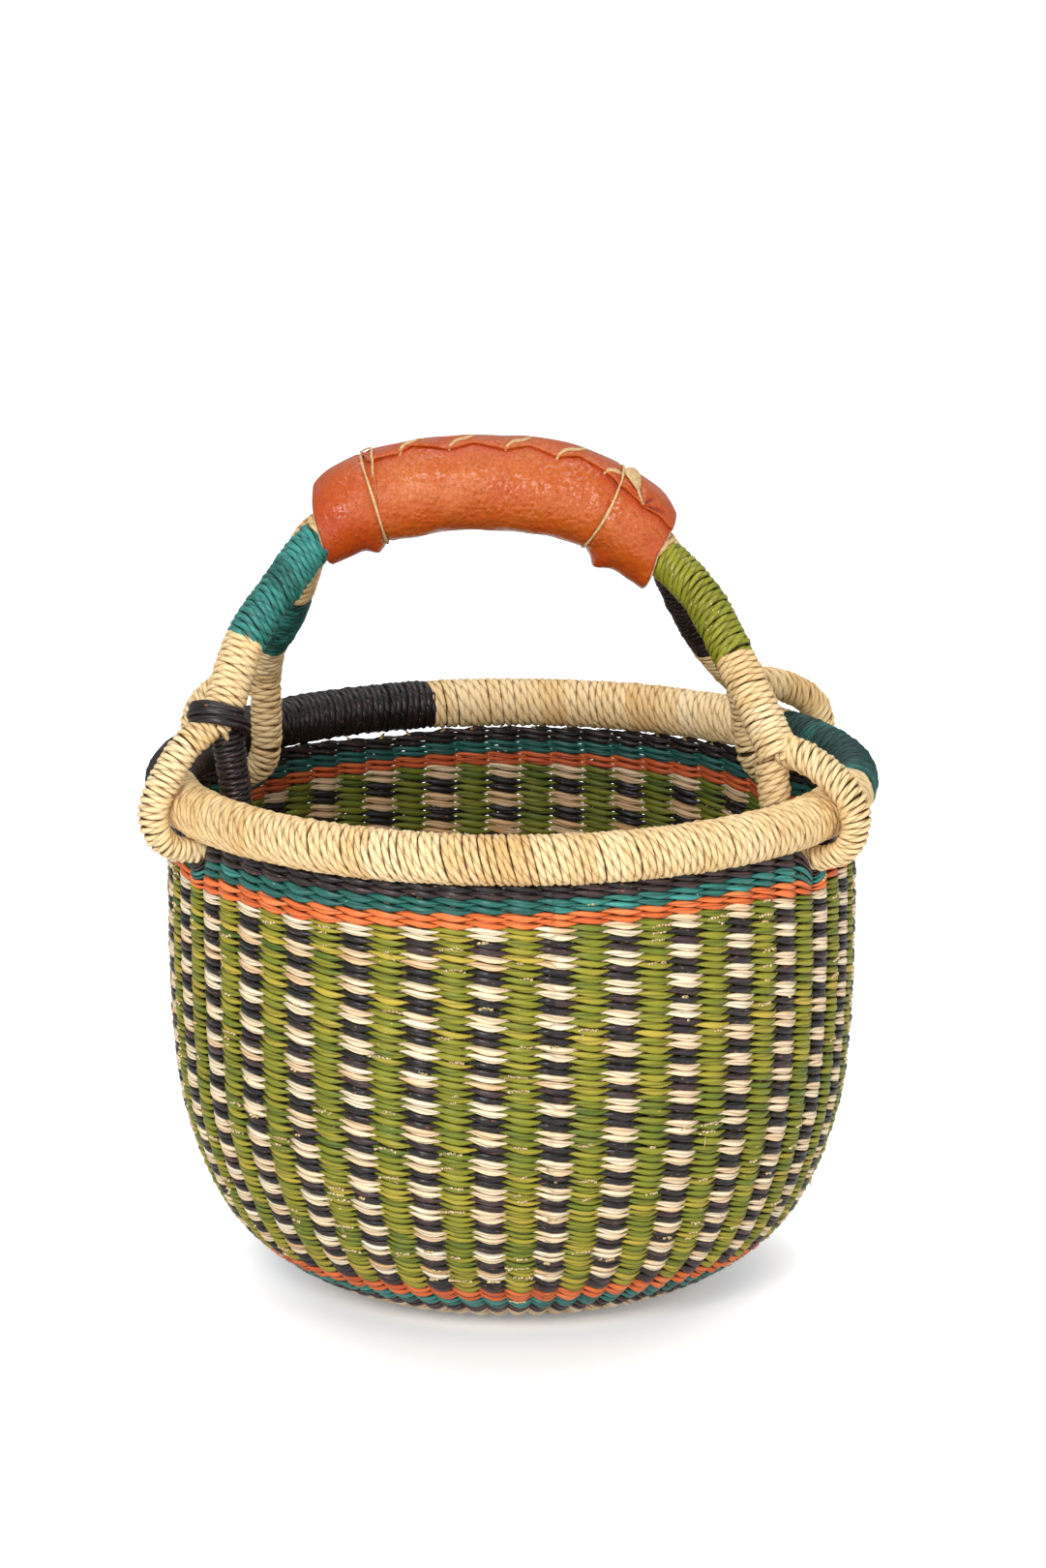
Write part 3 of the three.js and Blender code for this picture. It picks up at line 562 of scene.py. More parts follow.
# How the rows were beaten down: the upper edge of a row, and its place below the wall's top
ROW_EDGES = np.array([
    (6, 13.5), (8, 19), (12, 31), (16, 43.3), (20, 56), (24, 69), (28, 80.3), (32, 92), (36, 104.5),
    (40, 117.3), (44, 128.7), (48, 139.5), (52, 149.8), (56, 160.2), (60, 171.8), (62, 180.8),
    (68, 207.5), (400, 1216.8),
])  # fmt: skip
# Angle from the front, and where the upper orange band ends there. It sinks at the eyes.
ORANGE_FOOT = np.array([
    (-180, 12.4), (-142, 13), (-130, 15.5), (-122, 17.5), (-115, 15.5), (-105, 13.5), (-90, 13.5),
    (-80, 14.5), (-74, 15.6), (-69, 17), (-64, 17.9), (-58, 17), (-50, 16.5), (-38, 17), (-27, 16),
    (-18, 15.2), (0, 14.2), (16, 13.2), (30, 12.7), (40, 12.8), (46, 13.6), (52, 15.6), (57, 16.9),
    (62, 17.8), (67, 16.2), (72, 15.1), (80, 14.2), (95, 13.4), (108, 13.6), (117, 15.5), (125, 17.5),
    (132, 15.5), (144, 13), (180, 12.4),
])  # fmt: skip
ROW_TOP = -3.1 * MM  # where the top row begins: a little above the wall's top
BARE_STAKES = (-156, 11)  # degrees from the front where the stakes' ends show, and how wide
BARE_DROP = 1.9 * MM  # how much lower the top row begins there
EYE_DIP = 8.5 * MM  # half width of the dip in the rows under an eye


class Wall:
    """The middle of the bowl's wall, by length from the top row down to the base's centre."""

    # outside of the bowl: how far out between the base's edge and the belly, and how far up
    profile_shares = [
        (0, 0), (0.2, 0.0204), (0.361, 0.051), (0.552, 0.102), (0.7135, 0.1735), (0.8426, 0.2755),
        (0.942, 0.408), (0.9845, 0.561), (1, 0.74), (1, 0.908), (0.99, 1),
    ]  # fmt: skip

    def __init__(self):
        bowl, self.handle, _ = settings()
        self.bowl = bowl
        top = bowl.rim_height - bowl.rim_thick / 2 - bowl.stake_end
        mouth = bowl.rim_radius + bowl.wall_thick / 8
        reach = mouth + bowl.belly_bulge - bowl.base_radius
        points = [(bowl.base_radius + out * reach, up * top) for out, up in self.profile_shares]
        line = smooth_line(points, 60)[::-1]
        self.reach = travelled(line)
        self.side_length = self.reach[-1]
        down = unit(np.gradient(line, self.reach, axis=0))
        outward = np.stack([-down[:, 1], down[:, 0]], -1)
        middle = line - outward * bowl.wall_thick / 2
        self.reach = np.append(self.reach, self.side_length + middle[-1, 0])
        centre = [[0.0, bowl.wall_thick / 2]]
        self.table = np.hstack([np.vstack([middle, centre]), np.vstack([down, [[-1.0, 0.0]]])])

    def at(self, below):
        """Radius, height, and the run down the wall, at lengths below the top row."""
        radius, height, out_run, up_run = (np.interp(below, self.reach, column) for column in self.table.T)
        size = np.hypot(out_run, up_run)
        return radius, height - np.minimum(below, 0), out_run / size, up_run / size

    def weave_top(self, angle):
        """Where the top row begins: close under the rim, lower where the stakes' ends show at
        the back on the left, and under the leg of each eye."""
        bowl, handle = self.bowl, self.handle
        bare_at, bare_wide = BARE_STAKES
        top = ROW_TOP + BARE_DROP * bell(angle / DEGREE - bare_at, bare_wide)
        below_eye = handle.eye_gap + handle.leg_thick_under + handle.seat_gap - bowl.stake_end
        for eye_angle, _ in EYES.values():
            away = half_turn(angle - eye_angle) * bowl.rim_radius
            top = top + (below_eye - top) * bell(away, EYE_DIP)
        return top

    def row_edge(self, edge, angle):
        """Length below the wall's top of the upper edge of a row, at angles from the front."""
        angle = half_turn(np.asarray(angle))
        orange = np.interp(angle / DEGREE, *ORANGE_FOOT.T) * MM
        if edge < BANDS_END:
            top = self.weave_top(angle)
            return top + (orange - top) * edge / BANDS_END
        usual = np.interp(edge, *ROW_EDGES.T) * MM
        return usual + (orange - ROW_EDGES[0, 1] * MM) * math.exp((BANDS_END - edge) / 4)

    def radius_of(self, edge):
        """Radius of the upper edge of a row, at the front."""
        return self.at(self.row_edge(edge, 0.0))[0]


def stakes_at(row_radius):
    """Stakes crossed by a row: the base adds stakes as it grows."""
    for least, count in ((60 * MM, STAKES), (30 * MM, STAKES // 2), (14 * MM, STAKES // 4)):
        if row_radius > least:
            return count
    return STAKES // 8


def straw_tones(count, per_straw, rng, spread):
    """A tone for each step of a long weft made of many straws, each with its own."""
    tones = np.empty(count)
    start = 0
    while start < count:
        stop = start + max(2, int(per_straw * rng.uniform(0.6, 1.5)))
        tones[start:stop] = np.clip(rng.normal(0.5, spread), 0.05, 0.95)
        start = stop
    return tones


TONE_SPREAD = {"green_straw": 0.17, "black_straw": 0.2}  # of the straws of one colour; usually 0.11
LAID = {"natural_straw": 1.0}  # how far the plies lie side by side; usually 0.25


def twine(straws, wall, row, weft, slot, seed):
    """One weft of one row. Weft 0 lies outside the even stakes, and weft 1 outside the odd ones.
    Its plies lie side by side, or less so, and then they turn round each other."""
    bowl = wall.bowl
    laid = LAID.get(slot, 0.25)
    rng = np.random.default_rng(seed * 1000 + row * 2 + weft)
    radius = wall.radius_of(row + 0.5)
    stakes = stakes_at(radius)
    steps = stakes * WEFT_STEPS
    place = np.arange(steps) / WEFT_STEPS
    place = place + 0.04 * np.sin(TAU * place)
    angle = FIRST_STAKE + place * TAU / stakes
    phase = math.pi * (place - weft)
    crest = np.cos(phase)
    bulge = np.abs(crest)
    # hand-made unevenness: leaves differ, and the rows and columns wander
    leaf = np.round(place).astype(int) % stakes
    leaf_size = rng.normal(0, 1, stakes)[leaf] * bulge
    leaf_shift = rng.normal(0, 1, stakes)[leaf] * bulge
    upper, lower = (wall.row_edge(edge, angle) for edge in (row, row + 1))
    pitch = (lower - upper) / bowl.row_pitch
    wave = 0.3 * np.sin(2 * angle + 0.11 * row + 1.3) + 0.25 * np.sin(5 * angle - 0.17 * row)
    below = (upper + lower) / 2 + (wave * min(1, row / 12) + leaf_shift * 0.15) * MM
    column_wave = math.sin(0.9 * row) + np.sin(3 * angle + 0.21 * row)
    angle = angle + (column_wave * 0.3 * MM + rng.normal(0, 0.3 * MM)) / max(radius, 30 * MM)
    below = below + bowl.cross_rise * pitch * np.sin(phase)
    mid_radius, height, out_run, up_run = wall.at(below)
    swing = bowl.swing * np.sign(crest) * bulge + leaf_size * 0.1 * MM
    high = bowl.cross_high + (bowl.straw_high - bowl.cross_high) * bulge**0.75
    high = high * pitch * (1 + 0.06 * leaf_size) * (1 + 0.05 * drift(steps, 9, rng))
    narrow = min(1.0, TAU * radius / stakes / CLOSE_STAKES) ** 0.3
    plies = max(1, round(TAU * radius / WEFT_TWIST))
    twist = np.arange(steps) / steps * TAU * plies + rng.uniform(0, TAU)
    beside = TAU / 4 + 0.9 * drift(steps, WEFT_STEPS * 1.3, rng)
    twist = laid * beside + (1 - laid) * twist
    across, along_wall = two_ply(WEFT_SIDES, twist, 0.07)
    flat_across = np.sign(across) * np.abs(across) ** 0.6
    outward = swing[:, None] + bowl.straw_deep / 2 * narrow * flat_across
    downward = high[:, None] / 2 * along_wall
    # outward normal of the wall is its run down, turned a quarter
    ring_radius = mid_radius[:, None] - up_run[:, None] * outward + out_run[:, None] * downward
    ring_height = height[:, None] + out_run[:, None] * outward + up_run[:, None] * downward
    rings = around(angle[:, None], ring_radius, np.maximum(ring_height, 0))  # pressed flat by the floor
    along = np.linspace(0, TAU * radius, steps, endpoint=False) + rng.uniform(0, 1)
    spread = TONE_SPREAD.get(slot, 0.11)
    tones = straw_tones(steps, WEFT_STRAW / (TAU * radius / steps), rng, spread)[:, None]
    # painted shade: the faces stay lit, what lies between them takes the crevice shade,
    # and the inside of the wall is painted darker and browner
    face = np.clip((outward * np.sign(across) + 0.8 * MM) / (1.2 * MM), 0, 1)
    face = face * (0.1 + 0.9 * np.clip(np.abs(across) * 1.8, 0, 1))
    inner = np.clip(-outward / (1.6 * MM), 0, 1)
    straws.add(rings, along, tones - 0.22 * inner, face * (1 - 0.35 * inner), closed=True, twist=twist)


def pattern_rows():
    """For each piece of the wall, the rows and wefts that it takes."""
    rows = {}

    def put(name, row, *wefts):
        rows.setdefault(name, []).extend((row, weft) for weft in wefts)

    for i in range(BAND_ROWS):
        for k, colour_name in enumerate(("black", "teal", "orange")):
            put(f"top_{colour_name}_rows", k * BAND_ROWS + i, 0, 1)
            put(f"base_{colour_name}_rows", CHECKER_END + (2 - k) * BAND_ROWS + i, 0, 1)
    for i in range(CHECKER_ROWS):
        row = BANDS_END + i
        put("wall_green_upper" if i < CHECKER_ROWS // 2 else "wall_green_lower", row, 1)
        put("wall_natural_leaves" if i // 2 % 2 == 0 else "wall_black_leaves", row, 0)
    return rows


# For each operator, its pieces: material slot, CAD node that the piece stands for
TWINED = {
    "wall": {
        "wall_green_upper": ("green_straw", "checker_wall"),
        "wall_green_lower": ("green_straw", "checker_wall"),
        "wall_natural_leaves": ("natural_straw", "checker_wall"),
        "wall_black_leaves": ("black_straw", "checker_wall"),
    },
    "bands": {
        "top_black_rows": ("black_straw", "top_black_band"),
        "top_teal_rows": ("teal_straw", "top_teal_band"),
        "top_orange_rows": ("orange_straw", "top_orange_band"),
        "base_orange_rows": ("orange_straw", "base_orange_ring"),
        "base_teal_rows": ("teal_straw", "base_teal_ring"),
        "base_black_rows": ("black_straw", "base_black_ring"),
    },
}


def twine_pieces(group):
    wall = Wall()
    rows = pattern_rows()
    for name, (slot, node) in TWINED[group].items():
        straws = Straws()
        for row, weft in rows[name]:
            twine(straws, wall, row, weft, slot, SEEDS[group])
        straws.settle(name, slot, slot, node)
    return {"FINISHED"}


class BASKET_OT_wall(bpy.types.Operator):
    """Twines the checker wall: green columns between columns of natural and black patches"""

    bl_idname = "basket.wall"
    bl_label = "Checker wall"

    def execute(self, context):
        return twine_pieces("wall")


class BASKET_OT_bands(bpy.types.Operator):
    """Twines the black, teal and orange bands at the top and at the foot of the wall"""

    bl_idname = "basket.bands"
    bl_label = "Coloured bands"

    def execute(self, context):
        return twine_pieces("bands")


class BASKET_OT_base(bpy.types.Operator):
    """Twines the base in rings of natural straw down to its centre"""

    bl_idname = "basket.base"
    bl_label = "Base"

    def execute(self, context):
        wall = Wall()
        bowl = wall.bowl
        straws = Straws()
        row = CHECKER_END + BANDS_END
        while wall.radius_of(row + 0.5) > bowl.row_pitch:
            for weft in (0, 1):
                twine(straws, wall, row, weft, "natural_straw", SEEDS["base"])
            row += 1
        # the straws that the base was begun with cross in its middle
        reach = np.linspace(-8, 8, 9) * MM
        up = np.array([0, 0, 1.0])
        for i in range(4):
            way = around(FIRST_STAKE + i * TAU / 8, 1.0, 0.0)
            middle = reach[:, None] * way + np.array([0, 0, bowl.wall_thick / 2 + (i - 1.5) * 0.9 * MM])
            twist = reach / (9 * MM) * TAU
            across, over = two_ply(8, twist, 0.1)
            side = np.cross(way, up)
            rings = middle[:, None] + 1.9 * MM * across[..., None] * side + 1.1 * MM * over[..., None] * up
            straws.add(rings, reach, 0.55, 0.9, twist=twist)
        straws.settle("base_rows", "natural_straw", "natural_straw", "base_disc")
        return {"FINISHED"}


class BASKET_OT_stakes(bpy.types.Operator):
    """Stands the stakes inside the weave; their tips reach up to the rim"""

    bl_idname = "basket.stakes"
    bl_label = "Stakes"

    def execute(self, context):
        wall = Wall()
        bowl = wall.bowl
        rng = np.random.default_rng(SEEDS["stakes"])
        sides = 6
        stakes = Straws()
        turn = np.arange(sides) * TAU / sides
        for i in range(STAKES):
            place = FIRST_STAKE + i * TAU / STAKES
            top = wall.row_edge(0, place)
            tip = -bowl.stake_end - rng.uniform(-0.2, 0.6) * MM
            inside = np.linspace(top + 8 * MM, wall.side_length, 30)
            below = np.concatenate([np.linspace(tip, top + 2 * MM, 5), inside])
            bare = np.clip((top + 2 * MM - below) / (top + 2 * MM - tip), 0, 1)
            angle = place + bare**2 * rng.normal(0, 1.3 * MM) / bowl.rim_radius
            radius, height, out_run, up_run = wall.at(below)
            wide = bowl.stake_thick / 2 * (1 - 0.6 * bare**1.5)
            outward = wide[:, None] * np.cos(turn)
            sideways = wide[:, None] * np.sin(turn)
            ring_radius = radius[:, None] - up_run[:, None] * outward
            ring_height = height[:, None] + out_run[:, None] * outward
            rings = around(angle[:, None] - sideways / ring_radius, ring_radius, ring_height)
            stakes.add(rings, below, rng.uniform(0.45, 0.85), 1.0)
        stakes.settle("stakes", "packing_straw", "natural_straw")
        return {"FINISHED"}


def loose_end(straws, wall, angle, below, outward, reach, thick, tone, lean, rng):
    """A cut end of straw that stands out of the weave; lean turns it along the row or up."""
    radius, height, out_run, up_run = wall.at(below)
    share = np.array([0, 0.35, 0.8, 1])
    wide = thick / 2 * np.array([0.9, 1, 0.95, 0.45])
    away = outward + share * reach * math.cos(lean[0])
    along = share * reach * math.sin(lean[0])
    sideways, upwards = along * math.cos(lean[1]), along * math.sin(lean[1])
    turn = (np.arange(5) + rng.uniform(0, 1)) * TAU / 5
    middle_radius = radius - up_run * away + out_run * -upwards
    middle_height = height + out_run * away + up_run * -upwards
    rings = around(
        angle + (sideways[:, None] + 1.35 * wide[:, None] * np.cos(turn)) / radius,
        middle_radius[:, None] - out_run * wide[:, None] * np.sin(turn),
        middle_height[:, None] - up_run * wide[:, None] * np.sin(turn),
    )
    # painted shade: the root of each end, where it leaves the weave, takes the crevice shade
    straws.add(rings, share * reach, tone, np.array([0, 0.35, 1, 1]))


class BASKET_OT_ends(bpy.types.Operator):
    """Sets the cut ends of the straws, where one weft ended and the next was laid in"""

    bl_idname = "basket.ends"
    bl_label = "Cut ends"

    # chance of a bundle of ends at a stake, and of a longer stray one beside them
    green_chance, patch_chance, band_chance, stray_chance = 0.15, 0.05, 0.035, 0.12
    end_pitch = 1.35 * MM
    end_reach = 1.45 * MM

    def execute(self, context):
        wall = Wall()
        rng = np.random.default_rng(SEEDS["ends"])
        straws = Straws()
        for row in range(1, CHECKER_END + BANDS_END):
            radius = wall.radius_of(row)
            checker = BANDS_END < row < CHECKER_END
            for stake in range(STAKES):
                green = stake % 2 == 1
                chance = (self.green_chance if green else self.patch_chance) if checker else self.band_chance
                if rng.random() > chance:
                    continue
                angle = FIRST_STAKE + stake * TAU / STAKES + rng.normal(0, 1.2 * MM) / radius
                count = rng.integers(2, 8) if green else rng.integers(1, 5)
                for i in range(count):
                    beside = (i - (count - 1) / 2 + rng.uniform(-0.15, 0.15)) * self.end_pitch
                    place = angle + beside / radius
                    sag = 0.35 * MM * (beside / (3 * MM)) ** 2
                    below = wall.row_edge(row, place) + sag + rng.normal(0, 0.12 * MM)
                    thick = rng.uniform(0.95, 1.3) * MM
                    lean = (rng.normal(0, 0.35), rng.uniform(0, TAU))
                    outward = (2.0 - 0.6 * (beside / (4.5 * MM)) ** 2) * MM
                    tone = rng.uniform(0.45, 0.95)
                    loose_end(straws, wall, place, below, outward, self.end_reach, thick, tone, lean, rng)
                if rng.random() < self.stray_chance:
                    lean = (rng.uniform(0.9, 1.35), rng.uniform(0, TAU))
                    reach = rng.uniform(3, 7) * MM
                    loose_end(straws, wall, angle, below, 1.9 * MM, reach, 0.5 * MM, 0.7, lean, rng)
        straws.settle("weft_ends", "cut_straw", "natural_straw")
        return {"FINISHED"}


# Wraps of the rim and the handle

WRAP_STEPS = 26  # points round one turn
WRAP_SIDES = 8
WRAP_STRAW = 260 * MM  # length of one straw of a wrap
TUCK_RUN = 1.1 * MM  # length over which a straw that leans past its wrap's end goes under
TUCK_DEEP = 1.6 * MM  # how deep an end is tucked under
FLANK = 0.05  # height on a turn, as a share of its half depth, below which it is painted in shade


def wind(straws, route, start, stop, radius, seed, lean=(0, 0), fine=1.0, flank=FLANK):
    """Winds one straw of two plies round a route from one length along it to another.

    radius is the finished one, as a number or by length. lean tilts the turns at the start and
    at the end, so that they climb along the route on the side that faces out. fine is the pitch
    as a share of the usual one, and flank how far up its side a turn is painted in shade. Turns
    stray a little, and ride over their neighbours where they meet."""
    handle = bpy.context.scene.basket_handle
    radius_at = radius if callable(radius) else lambda reach: radius + 0 * reach
    rng = np.random.default_rng(seed)
    run_out = [abs(math.tan(tilt)) * radius_at(np.array([at]))[0] for tilt, at in zip(lean, (start, stop))]
    edges = start, stop
    start, stop = start - run_out[0], stop + run_out[1]
    turns = max(2, round((stop - start) / (handle.wrap_pitch * fine)))
    count = turns * WRAP_STEPS + 1
    step = np.arange(count)
    turn = step * TAU / WRAP_STEPS
    smooth = np.hanning(9) / np.hanning(9).sum()
    stray = np.convolve(drift(count, WRAP_STEPS * 0.6, rng) * handle.wander, smooth, "same")
    share = step / (count - 1)
    reach = start + (stop - start) * share
    radius = radius_at(reach)
    reach = reach + stray + np.tan(lean[0] + (lean[1] - lean[0]) * share) * radius * np.sin(turn)
    ends = np.clip(np.minimum(step, count - 1 - step) / (WRAP_STEPS * 0.5), 0, 1)
    # where a turn comes closer to the last one than its width, it rides over it
    lift = np.zeros(count)
    beside = reach[WRAP_STEPS:] - reach[:-WRAP_STEPS]
    close = np.clip(1 - beside / (handle.wrap_wide * fine * 0.8), 0, 1)
    for i in range(WRAP_STEPS, count):
        under = lift[i - WRAP_STEPS]
        lift[i] = close[i - WRAP_STEPS] * handle.wrap_deep * 0.9 * (under < 0.3 * handle.wrap_deep)
    lift = np.convolve(lift, smooth, "same") + (0.22 * drift(count, WRAP_STEPS * 0.8, rng) - 0.15) * MM
    deep = handle.wrap_deep / 2 * (1 + 0.06 * drift(count, 50, rng))
    wide = handle.wrap_wide * fine / 2 * (1 + 0.07 * drift(count, 70, rng))
    place, along, out, side = route.at(reach)
    spoke = np.cos(turn)[:, None] * out + np.sin(turn)[:, None] * side
    # the straw's ends, and what leans out of its length, are tucked under
    past = np.clip(np.maximum(edges[0] - reach, reach - edges[1]) / TUCK_RUN, 0, 1)
    tuck = np.maximum((1 - ends) ** 2, past * past * (3 - 2 * past) * 1.3) * TUCK_DEEP
    distance = radius - deep + lift - tuck
    centre = place + spoke * distance[:, None]
    run = travelled(centre)
    twist = (run + 3 * MM * np.convolve(drift(count, 60, rng), smooth, "same")) * TAU / Straws.ply_pitch
    high, broad = two_ply(WRAP_SIDES, twist, 0.17)
    rings = sections(centre, spoke, deep[:, None] * high, along, -wide[:, None] * broad)
    tones = straw_tones(count, WRAP_STRAW / (TAU * radius[0] / WRAP_STEPS), rng, 0.1)
    # painted shade: the sides of each turn below flank take the crevice shade
    face = 0.04 + 0.96 * np.clip((high - flank) / 0.68, 0, 1)
    straws.add(rings, run, tones, face, per_strip=WRAP_STEPS, twist=twist)


def bundle(route, radius, seed):
    """The loose straw inside a wrap: a round bundle with the ridges of its straws."""
    sides = 26
    straws = Straws()
    reach = np.linspace(0, route.length, max(8, int(route.length / (5 * MM))))
    place, _, out, side = route.at(reach)
    turn = np.arange(sides) * TAU / sides
    rng = np.random.default_rng(seed)
    ridge = 1 + 0.05 * np.where(np.arange(sides) % 2, 1, -1) + rng.normal(0, 0.012, sides)
    radius = (radius(reach) if callable(radius) else radius + 0 * reach)[:, None] * ridge[None]
    rings = sections(place, out, radius * np.cos(turn), side, radius * np.sin(turn))
    # painted shade: the bundle is painted mostly in the crevice shade
    straws.add(rings, reach, 0.35, 0.2)
    return straws


# Where one wrap of the rim ends and the next begins, from the front round to the right:
# look, slot, first and last degree, lean, flank. The dark teal turns are painted in shade far up their
# flanks.
RIM_WRAPS = {
    "rim_wrap_front": ("wrap_natural_straw", "natural_straw", -82, 80, (0.3, 0.05), FLANK),
    "rim_wrap_right": ("deep_teal_straw", "teal_straw", 80, 125, (0.2, 0.2), 0.42),
    "rim_wrap_back": ("wrap_natural_straw", "natural_straw", 125, 194.5, (-0.18, -0.05), FLANK),
    "rim_wrap_left": ("black_straw", "black_straw", 194.5, 278, (0.12, 0.25), FLANK),
}
RIM_RUN_IN = 6  # degrees by which a route of the rim begins before its wrap


def rim_route(angle):
    bowl, _, _ = settings()
    return Route(around(angle, bowl.rim_radius, bowl.rim_height), around(angle, 1.0, 0.0))


class BASKET_OT_rim(bpy.types.Operator):
    """Winds the four lengths of straw round the rim's bundle"""

    bl_idname = "basket.rim"
    bl_label = "Rim"

    def execute(self, context):
        bowl, handle, _ = settings()
        thick = bowl.rim_thick / 2
        run_in = RIM_RUN_IN * DEGREE * bowl.rim_radius
        for i, (name, (look, slot, start, stop, lean, flank)) in enumerate(RIM_WRAPS.items()):
            route = rim_route(np.arange(start - RIM_RUN_IN, stop + RIM_RUN_IN, 1.0) * DEGREE)
            span = (stop - start) * DEGREE * bowl.rim_radius
            straws = Straws()
            wind(straws, route, run_in, run_in + span, thick, SEEDS["rim"] + i, lean, flank=flank)
            straws.settle(name + "_turns", look, slot, name)
        core = bundle(rim_route(np.linspace(0, TAU, 120)), thick - handle.wrap_deep, SEEDS["rim_core"])
        core.settle("rim_bundle", "packing_straw", "packing_straw", "rim_core")
        return {"FINISHED"}


# Handle: the strands run as in the frame, and the grip lies 2 mm lower, as in the photo

# Places along the grip: how far to the right as a share of the rim's radius, how far up as a
# share of the handle's rise
GRIP_SHARES = [
    (-0.565, 0.85), (-0.43, 0.924), (-0.25, 0.972), (-0.04, 0.985), (0.16, 0.954), (0.3, 0.887),
    (0.43, 0.778),
]  # fmt: skip
# How far apart the strands run at these places, as shares of their usual distance
APART_SHARES = [1.1, 1, 1, 1, 1, 1, 1.1]
# Places from a fork to the grip: right, back and up, and how far a strand hangs below the
# grip's line, as shares of its own thickness
STRANDS = {
    "front": {
        "side": -1,
        "ends": ("front_left", "front_right"),
        "left": [(-0.764, -0.251, 0.534), (-0.66, -0.15, 0.69)],
        "right": [(0.545, -0.165, 0.655), (0.645, -0.287, 0.471)],
        "drop": [0.28, 0.2, 0.12, 0.05, 0.05, 0.05, 0.08],
    },
    "back": {
        "side": 1,
        "ends": ("back_left", "back_right"),
        "left": [(-0.731, 0.394, 0.348), (-0.668, 0.262, 0.49), (-0.636, 0.165, 0.61)],
        "right": [(0.524, 0.23, 0.516), (0.593, 0.344, 0.364)],
        "drop": [0.36, 0.34, 0.25, 0.15, 0.12, 0.15, 0.2],
    },
}
# Round the rim's centre, from outside it down under it and up inside, in degrees
LOOP_ANGLES = [38, 12, -16, -46, -90, -134, -164, -186]
TOWARDS_FRONT = np.array([0.0, -1.0, 0.0])


def grip_centre(share, apart=0.0, drop=0.0):
    bowl, handle, _ = settings()
    across, up = share
    return np.array([
        across * bowl.rim_radius,
        apart * (handle.strand_thick / 2 + handle.seat_gap),
        bowl.rim_height + up * handle.rise - drop,
    ])  # fmt: skip


def eye_reaches():
    """From the rim's centre to the middle of an eye's leg, beside the rim and under it."""
    bowl, handle, _ = settings()
    near = bowl.rim_thick / 2 + handle.eye_gap
    return near + handle.leg_thick / 2, near + handle.leg_thick_under / 2


def eye_point(eye, out, up):
    bowl, _, _ = settings()
    return around(EYES[eye][0], bowl.rim_radius + out, bowl.rim_height + up)


def fork_of(eye):
    reach, _ = eye_reaches()
    out, up = EYES[eye][1]
    return eye_point(eye, out * reach, up * reach)


def strand_route(name):
    bowl, handle, _ = settings()
    plan = STRANDS[name]

    def free(share):
        across, back, up = share
        height = bowl.rim_height + up * handle.rise
        return np.array([across * bowl.rim_radius, back * bowl.rim_radius, height])

    in_grip = [
        grip_centre(share, plan["side"] * apart, drop * handle.strand_thick)
        for share, apart, drop in zip(GRIP_SHARES, APART_SHARES, plan["drop"])
    ]
    first, last = map(fork_of, plan["ends"])
    points = [first, *map(free, plan["left"]), *in_grip, *map(free, plan["right"]), last]
    return Route(smooth_line(points), TOWARDS_FRONT)


def loop_route(eye):
    """The closed eye from the fork down the outside, under the rim and up the inside."""
    _, handle, _ = settings()
    reach, drop = eye_reaches()
    third = handle.leg_thick / 2 / 3
    fork = fork_of(eye)
    angle = EYES[eye][0]
    points = []
    for value in LOOP_ANGLES:
        turn = value * DEGREE
        far = reach + (drop - reach) * max(0, -math.sin(turn)) ** 4
        points.append(eye_point(eye, math.cos(turn) * far, math.sin(turn) * far))
    shoulder = (fork + points[0]) / 2 + around(angle, third, third)
    inner = fork + around(angle, -third, -third)
    line = smooth_line([fork, shoulder, *points, inner])
    return Route(line, np.cross(around(angle, 1.0, 0.0), [0, 0, 1.0]))


# Coloured lengths on each strand, as shares of its way from the left fork to the right one:
# piece, look, slot, start, stop, lean
STRAND_WRAPS = {
    "front": [
        ("strand_wrap_front_left", "teal_straw", "teal_straw", 0.1, 0.26, (-0.45, -0.45)),
        ("strand_wrap_front_grip", "wrap_natural_straw", "natural_straw", 0.26, 0.72, (0, 0)),
        ("strand_wrap_front_right", "wrap_green_straw", "green_straw", 0.72, 0.88, (0.12, 0.12)),
    ],
    "back": [
        ("strand_wrap_back_left", "deep_teal_straw", "teal_straw", 0.07, 0.18, (-0.2, -0.2)),
        ("strand_wrap_back_grip", "wrap_natural_straw", "natural_straw", 0.18, 0.75, (0, 0)),
        ("strand_wrap_back_right", "black_straw", "black_straw", 0.75, 0.9, (0.1, 0.1)),
    ],
}


class BASKET_OT_handle(bpy.types.Operator):
    """Winds the coloured lengths of straw round the two strands"""

    bl_idname = "basket.handle"
    bl_label = "Handle strands"

    def execute(self, context):
        _, handle, _ = settings()
        thick = handle.strand_thick / 2
        for i, (strand, wraps) in enumerate(STRAND_WRAPS.items()):
            route = strand_route(strand)
            for k, (name, look, slot, start, stop, lean) in enumerate(wraps):
                straws = Straws()
                seed = SEEDS["strands"] + 10 * i + k
                wind(straws, route, start * route.length, stop * route.length, thick, seed, lean)
                straws.settle(name + "_turns", look, slot, name)
            core = bundle(route, thick - handle.wrap_deep, SEEDS["strand_core"] + i)
            core.settle(f"strand_{strand}_bundle", "packing_straw", "packing_straw", f"strand_{strand}_core")
        return {"FINISHED"}


SPLIT_SHARE = 0.62  # of the front left eye, where natural straw gives way to black


